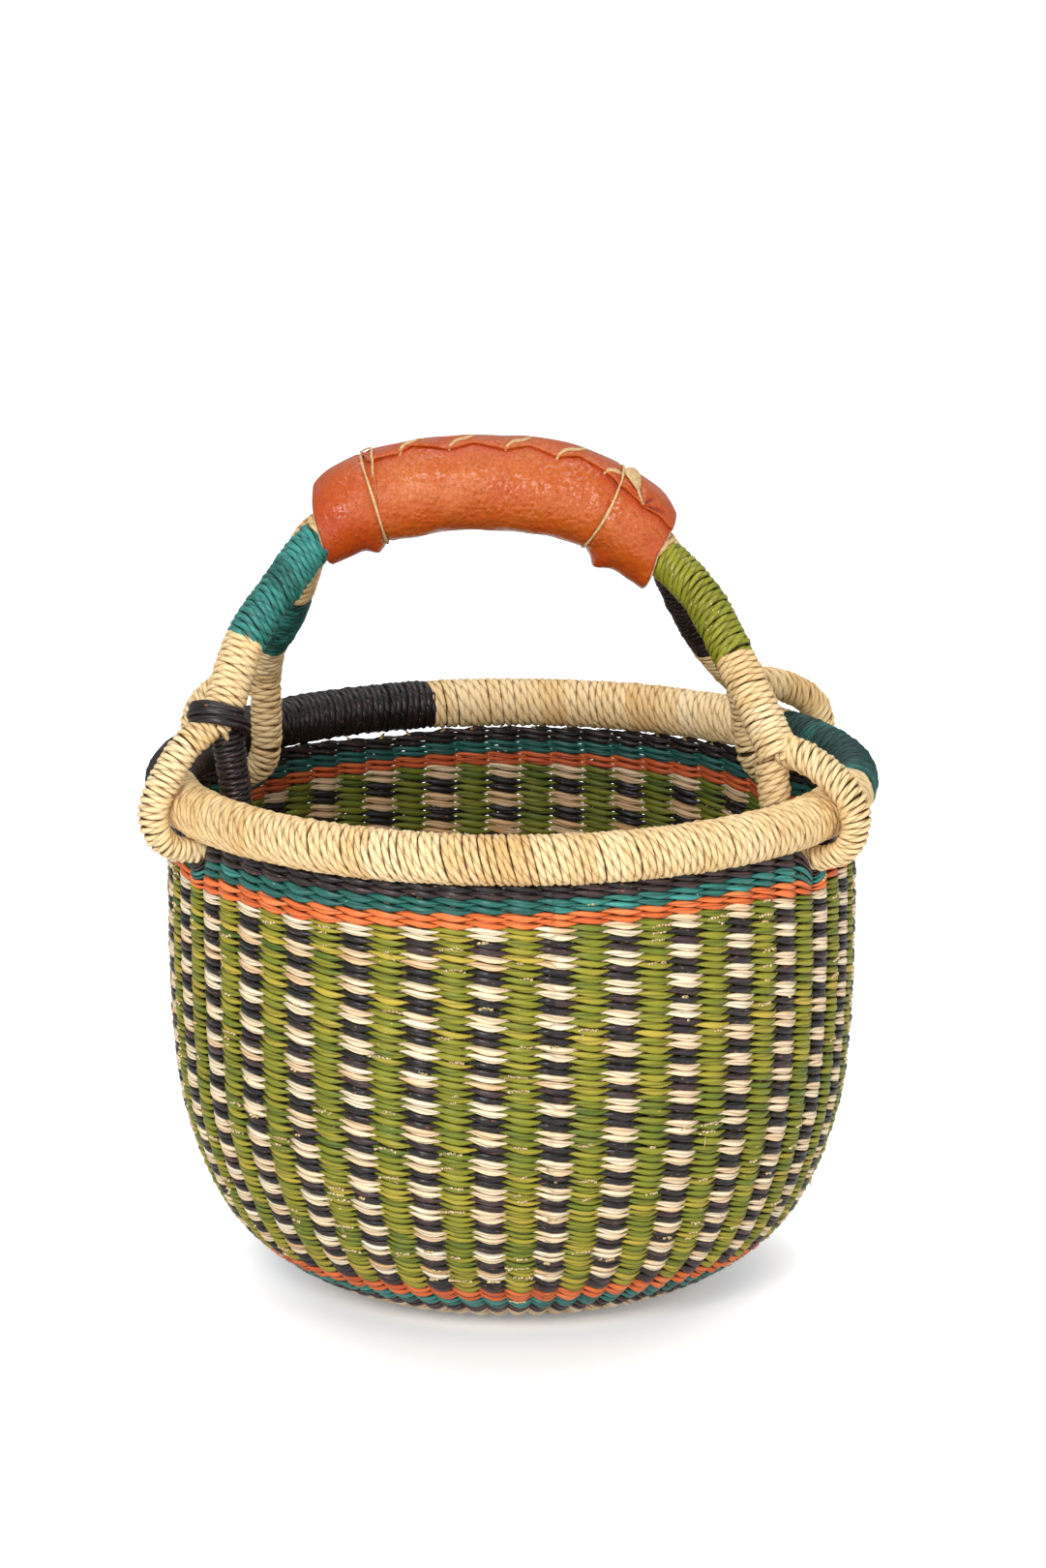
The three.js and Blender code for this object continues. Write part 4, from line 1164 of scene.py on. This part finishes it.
class BASKET_OT_eyes(bpy.types.Operator):
    """Winds the forks and the legs that close round the rim, and the black binding"""

    bl_idname = "basket.eyes"
    bl_label = "Eyes"

    def execute(self, context):
        _, handle, _ = settings()
        thick = handle.strand_thick / 2
        for i, (strand, wraps) in enumerate(STRAND_WRAPS.items()):
            route = strand_route(strand)
            for end, eye in enumerate(STRANDS[strand]["ends"]):
                bound = eye == "front_left"
                loop = loop_route(eye)
                straws = Straws()
                # the fork's wrap runs on a little way between the legs
                grow = (2.5 if bound else 6) * MM
                bounds = (1, wraps[-1][4]) if end else (0, wraps[0][3])
                start, stop = (share * route.length for share in sorted(bounds))
                start, stop = (start, stop + grow) if end else (start - grow, stop)
                lean = (-0.15, -0.15) if end else (-0.3, -0.3)
                wind(straws, route, start, stop, thick, SEEDS["forks"] + 2 * i + end, lean, 0.93)

                def leg(reach, loop=loop):
                    full, under = handle.leg_thick / 2, handle.leg_thick_under / 2
                    return full + (under - full) * bell(reach / loop.length - 0.55, 0.14)

                start, stop = 0.02 * loop.length, ((SPLIT_SHARE if bound else 1.0) - 0.01) * loop.length
                wind(straws, loop, start, stop, leg, SEEDS["legs"] + 2 * i + end, (0.15, 0.15), 0.9)
                name = f"fork_wrap_{eye}"
                straws.settle(name + "_turns", "wrap_natural_straw", "natural_straw", name)
                if bound:
                    black = Straws()
                    start = SPLIT_SHARE * loop.length
                    wind(black, loop, start, loop.length, leg, SEEDS["black_leg"], (0.1, 0.1), 0.85)
                    leg_name = f"leg_wrap_{eye}"
                    black.settle(leg_name + "_turns", "black_straw", "black_straw", leg_name)
                core = bundle(loop, lambda reach: leg(reach) - handle.wrap_deep, SEEDS["leg_core"] + i)
                core.settle(f"leg_bundle_{eye}", "packing_straw", "packing_straw")
        self.binding(handle)
        return {"FINISHED"}

    def binding(self, handle):
        """Two turns of black straw and a bit, round the front left fork."""
        route = strand_route("front")
        turns = 2.4
        steps = 30
        count = int(turns * steps) + 1
        step = np.arange(count)
        turn = step * TAU / steps - TAU / 4
        straw_half = handle.binding_straw / 2
        reach = -4.8 * MM + step / steps * straw_half * 1.9 + 1.0 * MM * np.sin(turn)
        ends = np.clip(np.minimum(step, count - 1 - step) / (steps * 0.25), 0, 1)
        place, along, out, side = route.at(np.maximum(reach, 0))
        place = place + along * np.minimum(reach, 0)[:, None]
        spoke = np.cos(turn)[:, None] * out * 0.96 + np.sin(turn)[:, None] * side * 1.2
        distance = handle.strand_thick / 2 + straw_half * 0.75 - (1 - ends) * straw_half
        centre = place + spoke * distance[:, None]
        twist = step / steps * TAU * 1.3
        high, broad = two_ply(8, twist, 0.12)
        rings = sections(centre, unit(spoke), 0.9 * straw_half * high, along, -1.15 * straw_half * broad)
        # painted shade on the sides of each turn
        face = 0.1 + 0.9 * np.clip((high + 0.15) / 0.75, 0, 1)
        straws = Straws()
        straws.add(rings, step * 2 * MM, 0.5, face, per_strip=steps, twist=twist)
        name = "fork_binding_front_left"
        straws.settle(name + "_turns", "black_straw", "black_straw", name)


# Grip


class Grip:
    """The surface of the leather grip. Turn 0 faces the front and a quarter turn the top."""

    # the lapped edge along the grip: share of its length, turn. It is pulled up under each stitch.
    lap_shares = [
        (-0.1, 126), (0.166, 120), (0.186, 66), (0.266, 65), (0.3, 77), (0.391, 60), (0.45, 69), (0.53, 57),
        (0.585, 69), (0.657, 57), (0.707, 66), (0.77, 54), (0.81, 48), (0.865, 41), (0.885, 37), (0.93, 43),
        (1.1, 48),
    ]  # fmt: skip
    # each stitch: where it comes up in front and where it goes down behind the lap
    stitch_shares = [
        ((0.264, 62), (0.322, 96)), ((0.389, 60), (0.455, 88)), ((0.528, 57), (0.592, 89)),
        ((0.655, 54), (0.722, 90)), ((0.768, 52), (0.812, 66)),
    ]  # fmt: skip
    ring_shares = (0.175, 0.812)
    pucker = (0.884, 37 * DEGREE)  # share and turn where the lace draws the right cuff together
    # soft unevenness: waves round the grip, radians in a millimetre along it, and shift
    waves = ((2, 0.11, 0.4), (3, 0.17, 2.1), (5, 0.23, 4.0), (7, 0.37, 1.1))

    def __init__(self):
        _, handle, self.grip = settings()
        self.wide = 2 * handle.strand_thick + 2 * self.grip.side_room + 2 * self.grip.leather_thick
        self.route = Route(smooth_line([grip_centre(share) for share in GRIP_SHARES]), TOWARDS_FRONT)
        self.length = self.route.length

    def edge(self, share):
        return np.interp(share, *np.array(self.lap_shares).T) * DEGREE

    def swell(self, share, turn):
        """What hands and the tied lace have done to the leather."""
        swell = np.zeros(np.broadcast(share, turn).shape)
        for ring in self.ring_shares:
            swell -= 1.0 * MM * bell((share - ring) * self.length, 1.6 * MM)
        # sunk over the open ends, most of all on top
        for from_end, deep in ((share, 4.2), (1 - share, 4)):
            swell -= deep * MM * bell(from_end * self.length, 8 * MM) * (0.5 + 0.5 * np.sin(turn))
        # folded lips beside the rings, under the grip
        for at, deep, long in ((0.128, 3.4, 5), (0.885, 4.4, 6)):
            under = bell(half_turn(turn + 82 * DEGREE), 24 * DEGREE)
            swell += deep * MM * under * bell((share - at) * self.length, long * MM)
        cuff = np.clip((share - 0.83) / 0.04, 0, 1)
        swell += 0.6 * MM * cuff * np.clip(-np.sin(turn), 0, 1) ** 2
        run = share * self.length / MM
        for k, (across, along, shift) in enumerate(self.waves):
            size = 0.3 * MM / (1 + 0.5 * k)
            swell += size * np.sin(across * turn + shift) * np.sin(along * run + 2 * shift)
        return swell - 1.5 * MM * self.puckers(share, turn)

    def puckers(self, share, turn):
        """How deep a point lies in the creases that run out from where the lace draws the right
        cuff together: 1 in a crease."""
        x = (share - self.pucker[0]) * self.length
        y = (turn - self.pucker[1]) * self.wide / 2
        away = np.hypot(x, y) + 1e-9
        crease = 1 - np.abs(np.sin(np.arctan2(y, x + 0.5 * MM) * 4.4 + 0.7)) ** 1.5
        return crease * (bell(away - 4 * MM, 7 * MM) * (turn > self.edge(share)) * (x > -6 * MM))

    def at(self, share, turn, lift=0.0, lapped=True):
        """Points on the leather's outside, raised by a lift."""
        share, turn = np.broadcast_arrays(share, turn)
        grip = self.grip
        crown = np.sin(math.pi * np.clip(share, 0, 1)) ** 0.7
        high = (grip.end_high + (grip.high - grip.end_high) * crown) / 2
        over_edge = np.mod(turn - self.edge(share), TAU)
        lap = grip.lap_step * np.clip(1 - over_edge / (85 * DEGREE), 0, 1) if lapped else 0.0
        grown = self.swell(share, turn) + lift + lap
        place, along, _, _ = self.route.at(share * self.length)
        over = np.stack([-along[..., 2], along[..., 1] * 0, along[..., 0]], -1)
        sideways = (np.cos(turn) * (self.wide / 2 + grown))[..., None]
        upwards = (np.sin(turn) * (high + grown))[..., None]
        return place + TOWARDS_FRONT * sideways + over * upwards


def ends_at(turn):
    """Where the leather ends at a turn, as shares of the grip's length: it is cut by eye."""
    top = np.clip(np.sin(turn), 0, 1)
    low = np.clip(-np.sin(turn), 0, 1)
    wave = 0.004 * np.sin(3 * turn + 1)
    return 0.045 * top**2 - 0.012 * low + wave, 1 - 0.022 * top**2 + 0.03 * low - wave


class BASKET_OT_grip(bpy.types.Operator):
    """Folds the leather round both strands, lapped along the top, over its straw packing"""

    bl_idname = "basket.grip"
    bl_label = "Leather grip"

    def execute(self, context):
        surface = Grip()
        grip = surface.grip
        # stations along: inside at one end, round the cut edge, the outside, the other end
        inset = np.array([11, 8, 5, 2.5, 1, 0.3, 0, 0, 0.4, 0.75, 0.95]) * MM / surface.length
        depth = np.array([1, 1, 1, 1, 0.95, 0.75, 0.5, 0.2, 0, 0, 0]) * grip.leather_thick
        cut_side = np.array([1, 1, 1, 1, 1, 1, 1, 1, 1, 0.6, 0])
        middle = np.linspace(0, 1, 250)[1:-1]
        share = np.concatenate([inset, middle, 1 - inset[::-1]])
        sunk, flesh = (np.concatenate([end, 0 * middle, end[::-1]])[:, None] for end in (depth, cut_side))
        # turns: dense at the lapped edge, which stands on the leather below it
        climb = [3.0, 0.2, -0.9, -0.2, 1.2, 3, 5.5]
        offset = np.concatenate([climb, np.linspace(9, 330, 128), [338, 346, 352, 356, 359]]) * DEGREE
        rise = np.ones(len(offset))
        rise[:4] = 0, 0.12, 0.55, 0.9
        first, last = ends_at(surface.edge(share[:, None]) + offset[None])
        run = first + (last - first) * share[:, None]
        turn = surface.edge(run) + offset[None]
        skin = surface.at(run, turn, -sunk)
        foot = surface.at(run, turn, -sunk, lapped=False)
        # the first turns climb from the leather below to the top of the lap
        past = np.mod(turn - surface.edge(run), TAU)
        top = surface.at(run, turn, -sunk + grip.lap_step * (past > math.pi))
        climbing = (np.arange(len(offset)) < len(climb))[None, :, None]
        rings = np.where(climbing, foot + (top - foot) * rise[None, :, None], skin)
        ends = bell(run, 0.16) + 0.45 * bell(1 - run, 0.15)
        # redder at the ends and on the lap; painted shade makes the underside redder and darker
        red_and_shade = 0.7 * ends + 0.22 * bell(past, 26 * DEGREE) + 0.5 * np.clip(-np.sin(turn), 0, 1) ** 2
        # painted shade: darker in the creases and close under the lapped edge
        under_lap = np.clip((offset / DEGREE - 346) / 13, 0, 1)[None] * (run > 0.17)
        creases = np.clip(surface.puckers(run, turn) * 1.5 - 0.5, 0, 1)
        red_and_shade = np.clip(red_and_shade, 0, 1) + 1.4 * creases + 0.8 * under_lap
        hide = Straws()
        hide.add(rings[:, ::-1], share * surface.length, red_and_shade[:, ::-1], flesh)
        hide.settle("leather_sleeve", "leather", "tan_leather", "grip_leather")
        self.packing(surface)
        return {"FINISHED"}

    def packing(self, surface):
        """Loose straw between the leather and the strands, seen at the two open ends."""
        sides = 64
        share = np.linspace(0.045, 0.955, 40)
        turn = np.arange(sides) * TAU / sides
        ridge = 0.35 * MM * np.where(np.arange(sides) % 2, 1, -1)
        lift = ridge[None] - surface.grip.leather_thick - 1.2 * MM
        points = surface.at(share[:, None], turn[None], lift, lapped=False)
        straws = Straws()
        # painted shade: the packing is painted partly in the crevice shade
        straws.add(points[:, ::-1], share * surface.length, 0.5, 0.4)
        straws.settle("packing_bundle", "packing_straw", "packing_straw", "grip_packing")


def thong(straws, surface, share, turn, lift, wide, thick, tone):
    """A cut thong that lies flat over places on the grip, raised by a lift."""
    points = surface.at(share, turn, lift)
    normals = surface.at(share, turn, lift + MM) - points
    along = unit(np.gradient(points, axis=0))
    side = unit(np.cross(along, normals))
    face = unit(np.cross(side, along))
    corner = (np.arange(8) + 0.5) * TAU / 8
    across = np.sign(np.cos(corner)) * np.abs(np.cos(corner)) ** 0.5
    up = np.sign(np.sin(corner)) * np.abs(np.sin(corner)) ** 0.6
    wide = np.broadcast_to(wide, len(points))[:, None]
    rings = sections(points, side, wide / 2 * across, face, np.full_like(wide, thick) / 2 * up)
    straws.add(rings, travelled(points), tone, 1.0)


class BASKET_OT_lace(bpy.types.Operator):
    """Sews the lap with whip stitches and ties the two rings and the knot"""

    bl_idname = "basket.lace"
    bl_label = "Lace"

    def execute(self, context):
        surface = Grip()
        grip = surface.grip
        stitches = Straws()
        for (share_in, turn_in), (share_out, turn_out) in surface.stitch_shares:
            t = np.linspace(0, 1, 17)
            share = share_in + (share_out - share_in) * t
            turn = (turn_in + (turn_out - turn_in) * (t + 0.1 * np.sin(TAU * t))) * DEGREE
            lift = grip.lace_thick * (0.75 * np.clip(np.sin(math.pi * t), 0, 1) ** 0.35 - 0.45)
            wide = grip.lace_wide * (0.3 + 0.7 * np.sin(math.pi * np.clip(t, 0.02, 0.98)) ** 0.7)
            thong(stitches, surface, share, turn, lift, wide, grip.lace_thick * 0.9, 0.6)
        self.settle(stitches, "whip_stitches", "lace_stitches")
        for name, ring in zip(("left", "right"), surface.ring_shares):
            straws = Straws()
            turn = np.linspace(-90, 278, 150) * DEGREE
            share = ring + 0.004 * np.sin(turn * 2 + ring * 9)
            lift = 0.5 * grip.lace_thick * (1 + 0.5 * np.clip(turn / DEGREE - 180, 0, 90) / 90)
            wave = 1 + 0.18 * np.sin(turn * 5 + ring * 40) + 0.1 * np.sin(turn * 13)
            wide = 0.55 * grip.lace_wide * wave
            thong(straws, surface, share, turn, lift, wide, 0.8 * grip.lace_thick, 0.55)
            if name == "left":
                self.tail(straws, surface, (0.178, 104), (0.197, 92), (0.199, 66), (0.192, 40))
            self.settle(straws, f"lace_ring_{name}_thong", f"lace_ring_{name}")
        knot = Straws()
        self.flap(knot, surface)
        self.tail(knot, surface, (0.812, 76), (0.836, 66), (0.862, 47), (0.882, 38))
        self.settle(knot, "lace_knot_flap", "lace_knot")
        return {"FINISHED"}

    def settle(self, straws, name, node):
        straws.settle(name, "lace", "rawhide_lace", node)

    def tail(self, straws, surface, *places):
        """A loose end of the lace, through places given as share and turn."""
        grip = surface.grip
        line = smooth_line([(share, turn, 0) for share, turn in places], 8)
        lift = np.linspace(0.9, 0.45, len(line)) * grip.lace_thick
        wide = grip.lace_wide * np.linspace(0.75, 0.4, len(line))
        thong(straws, surface, line[:, 0], line[:, 1] * DEGREE, lift, wide, grip.lace_thick * 0.7, 0.6)

    def flap(self, straws, surface):
        """The end of the lace, folded once, lying over the right ring."""
        thick = surface.grip.lace_thick
        t = np.linspace(0, 1, 13)[:, None]
        across = np.linspace(-1, 1, 9)[None]
        top, tip = np.array([0.823, 84.0]), np.array([0.863, 47.0])
        left, right = np.array([0.819, 61.0]), np.array([0.849, 73.0])
        middle = top + (tip - top) * t[..., None]
        spread = np.sin(math.pi * t**0.8)[..., None] * np.abs(across)[..., None]
        side = np.where(across[..., None] < 0, left, right) - (top + tip) / 2
        share, turn = np.moveaxis(middle + spread * side, -1, 0)
        turn = turn * DEGREE
        fold = (1 - np.abs(across)) * 0.9 + 0.35 * np.sin(across * 7 + 3 * t)
        lift = thick * (1.25 + 0.45 * fold * np.sin(math.pi * np.clip(t, 0.03, 0.97)))
        upper, under = surface.at(share, turn, lift), surface.at(share, turn, lift - 0.8 * thick)
        straws.add(np.concatenate([upper, under[:, ::-1]], 1), t[:, 0] * 0.02, 0.55, 1.0)


# Stage


class BASKET_OT_stage(bpy.types.Operator):
    """Lays the white floor, hangs the lamps and sets the camera"""

    bl_idname = "basket.stage"
    bl_label = "Stage"

    def execute(self, context):
        scene = context.scene
        stage = scene.basket_stage
        rim_height = scene.basket_bowl.rim_height
        self.floor(scene, tuple(scene.basket_colours.backdrop))
        self.sky(scene, stage.world)
        middle = Vector((0, 0, rim_height * 0.75))
        # each lamp's place and the side of its square, in metres
        for name, place, size in (
            ("key", (-0.55, -2.3, 1.35), 0.9), ("fill", (1.6, -1.5, 0.9), 1.4), ("top", (0.1, 0.5, 2.2), 1.2),
        ):  # fmt: skip
            light = bpy.data.lights.new(name, "AREA")
            light.size = size
            light.energy = getattr(stage, name)
            lamp = bpy.data.objects.new(name, light)
            lamp.location = place
            lamp.rotation_euler = (Vector(place) - middle).to_track_quat("Z", "Y").to_euler()
            scene.collection.objects.link(lamp)
        view = Vector((0, -math.cos(stage.elevation), math.sin(stage.elevation)))
        up = Vector((0, math.sin(stage.elevation), math.cos(stage.elevation)))
        aim = Vector((stage.aim_right, 0, rim_height)) - up * stage.aim_down
        lens = bpy.data.cameras.new("camera")
        lens.lens = stage.lens
        lens.sensor_width = 36
        lens.clip_end = 30
        camera = bpy.data.objects.new("camera", lens)
        camera.location = aim + view * stage.distance
        camera.rotation_euler = view.to_track_quat("Z", "Y").to_euler()
        scene.collection.objects.link(camera)
        scene.camera = camera
        scene.view_settings.view_transform = "Standard"
        return {"FINISHED"}

    def floor(self, scene, white):
        """A floor that the camera sees as white paper, with the basket's soft shadow on it, shaped by a
        painted glow.
        """
        material = bpy.data.materials.new("white paper floor")
        node = node_adder(material)
        seen = node("LightPath", (), "Is Camera Ray")
        paper = node("BsdfDiffuse", {"Color": (*white, 1)})
        # painted light: the floor glows for the camera, dimmer in an oval round the basket, which paints the
        # shadow's shape; the glow is tinted a little blue
        place = node("TexCoord", (), "Object")
        oval = node("VectorMath", {0: place, 1: (2.0, 1.0, 1.0)}, operation="MULTIPLY")
        away = node("VectorMath", {0: oval}, "Value", operation="LENGTH")
        near = {"From Min": 0.12, "From Max": 0.32, "To Min": 0.22, "To Max": 0.8}
        strength = node("MapRange", {"Value": away, **near}, interpolation_type="SMOOTHSTEP")
        painted_glow = node("Emission", {"Color": (0.9, 0.96, 1, 1), "Strength": strength})
        both = node("AddShader", {0: paper, 1: painted_glow})
        mixed = node("MixShader", {0: seen, 1: paper, 2: both})
        node("OutputMaterial", {"Surface": mixed})
        wide = 30.0
        mesh = bpy.data.meshes.new("floor")
        corners = [(-wide, -wide, 0), (wide, -wide, 0), (wide, wide, 0), (-wide, wide, 0)]
        mesh.from_pydata(corners, [], [(0, 1, 2, 3)])
        mesh.materials.append(material)
        floor = bpy.data.objects.new("floor", mesh)
        scene.collection.objects.link(floor)

    def sky(self, scene, strength):
        """White all round; the camera sees it at full strength."""
        scene.world = bpy.data.worlds.new("studio")
        node = node_adder(scene.world)
        seen = node("LightPath", (), "Is Camera Ray")
        lit = node("Background", {"Color": (1, 1, 1, 1), "Strength": strength})
        paper = node("Background", {"Color": (1, 1, 1, 1), "Strength": 1.0})
        mixed = node("MixShader", {0: seen, 1: lit, 2: paper})
        node("OutputWorld", {"Surface": mixed})


class BASKET_PT_panel(bpy.types.Panel):
    """The basket's steps, in the order in which they run"""

    bl_idname = "BASKET_PT_panel"
    bl_label = "Bolga basket"
    bl_space_type = "VIEW_3D"
    bl_region_type = "UI"
    bl_category = "Basket"

    def draw(self, context):
        for group in SETTINGS:
            box = self.layout.box()
            for key in getattr(context.scene, group).__annotations__:
                box.prop(getattr(context.scene, group), key)
        for operator in OPERATORS:
            self.layout.operator(operator.bl_idname)


SETTINGS = {
    "basket_bowl": BowlSettings,
    "basket_handle": HandleSettings,
    "basket_grip": GripSettings,
    "basket_colours": ColourSettings,
    "basket_stage": StageSettings,
}
OPERATORS = (
    BASKET_OT_stage,
    BASKET_OT_wall,
    BASKET_OT_bands,
    BASKET_OT_base,
    BASKET_OT_stakes,
    BASKET_OT_ends,
    BASKET_OT_rim,
    BASKET_OT_handle,
    BASKET_OT_eyes,
    BASKET_OT_grip,
    BASKET_OT_lace,
)


def register():
    for cls in (*SETTINGS.values(), *OPERATORS, BASKET_PT_panel):
        bpy.utils.register_class(cls)
    for name, group in SETTINGS.items():
        setattr(bpy.types.Scene, name, bpy.props.PointerProperty(type=group))


def unregister():
    for name in SETTINGS:
        delattr(bpy.types.Scene, name)
    for cls in reversed((*SETTINGS.values(), *OPERATORS, BASKET_PT_panel)):
        bpy.utils.unregister_class(cls)


def main():
    register()
    for operator in OPERATORS:
        group, name = operator.bl_idname.split(".")
        getattr(getattr(bpy.ops, group), name)()


if __name__ == "__main__":
    main()
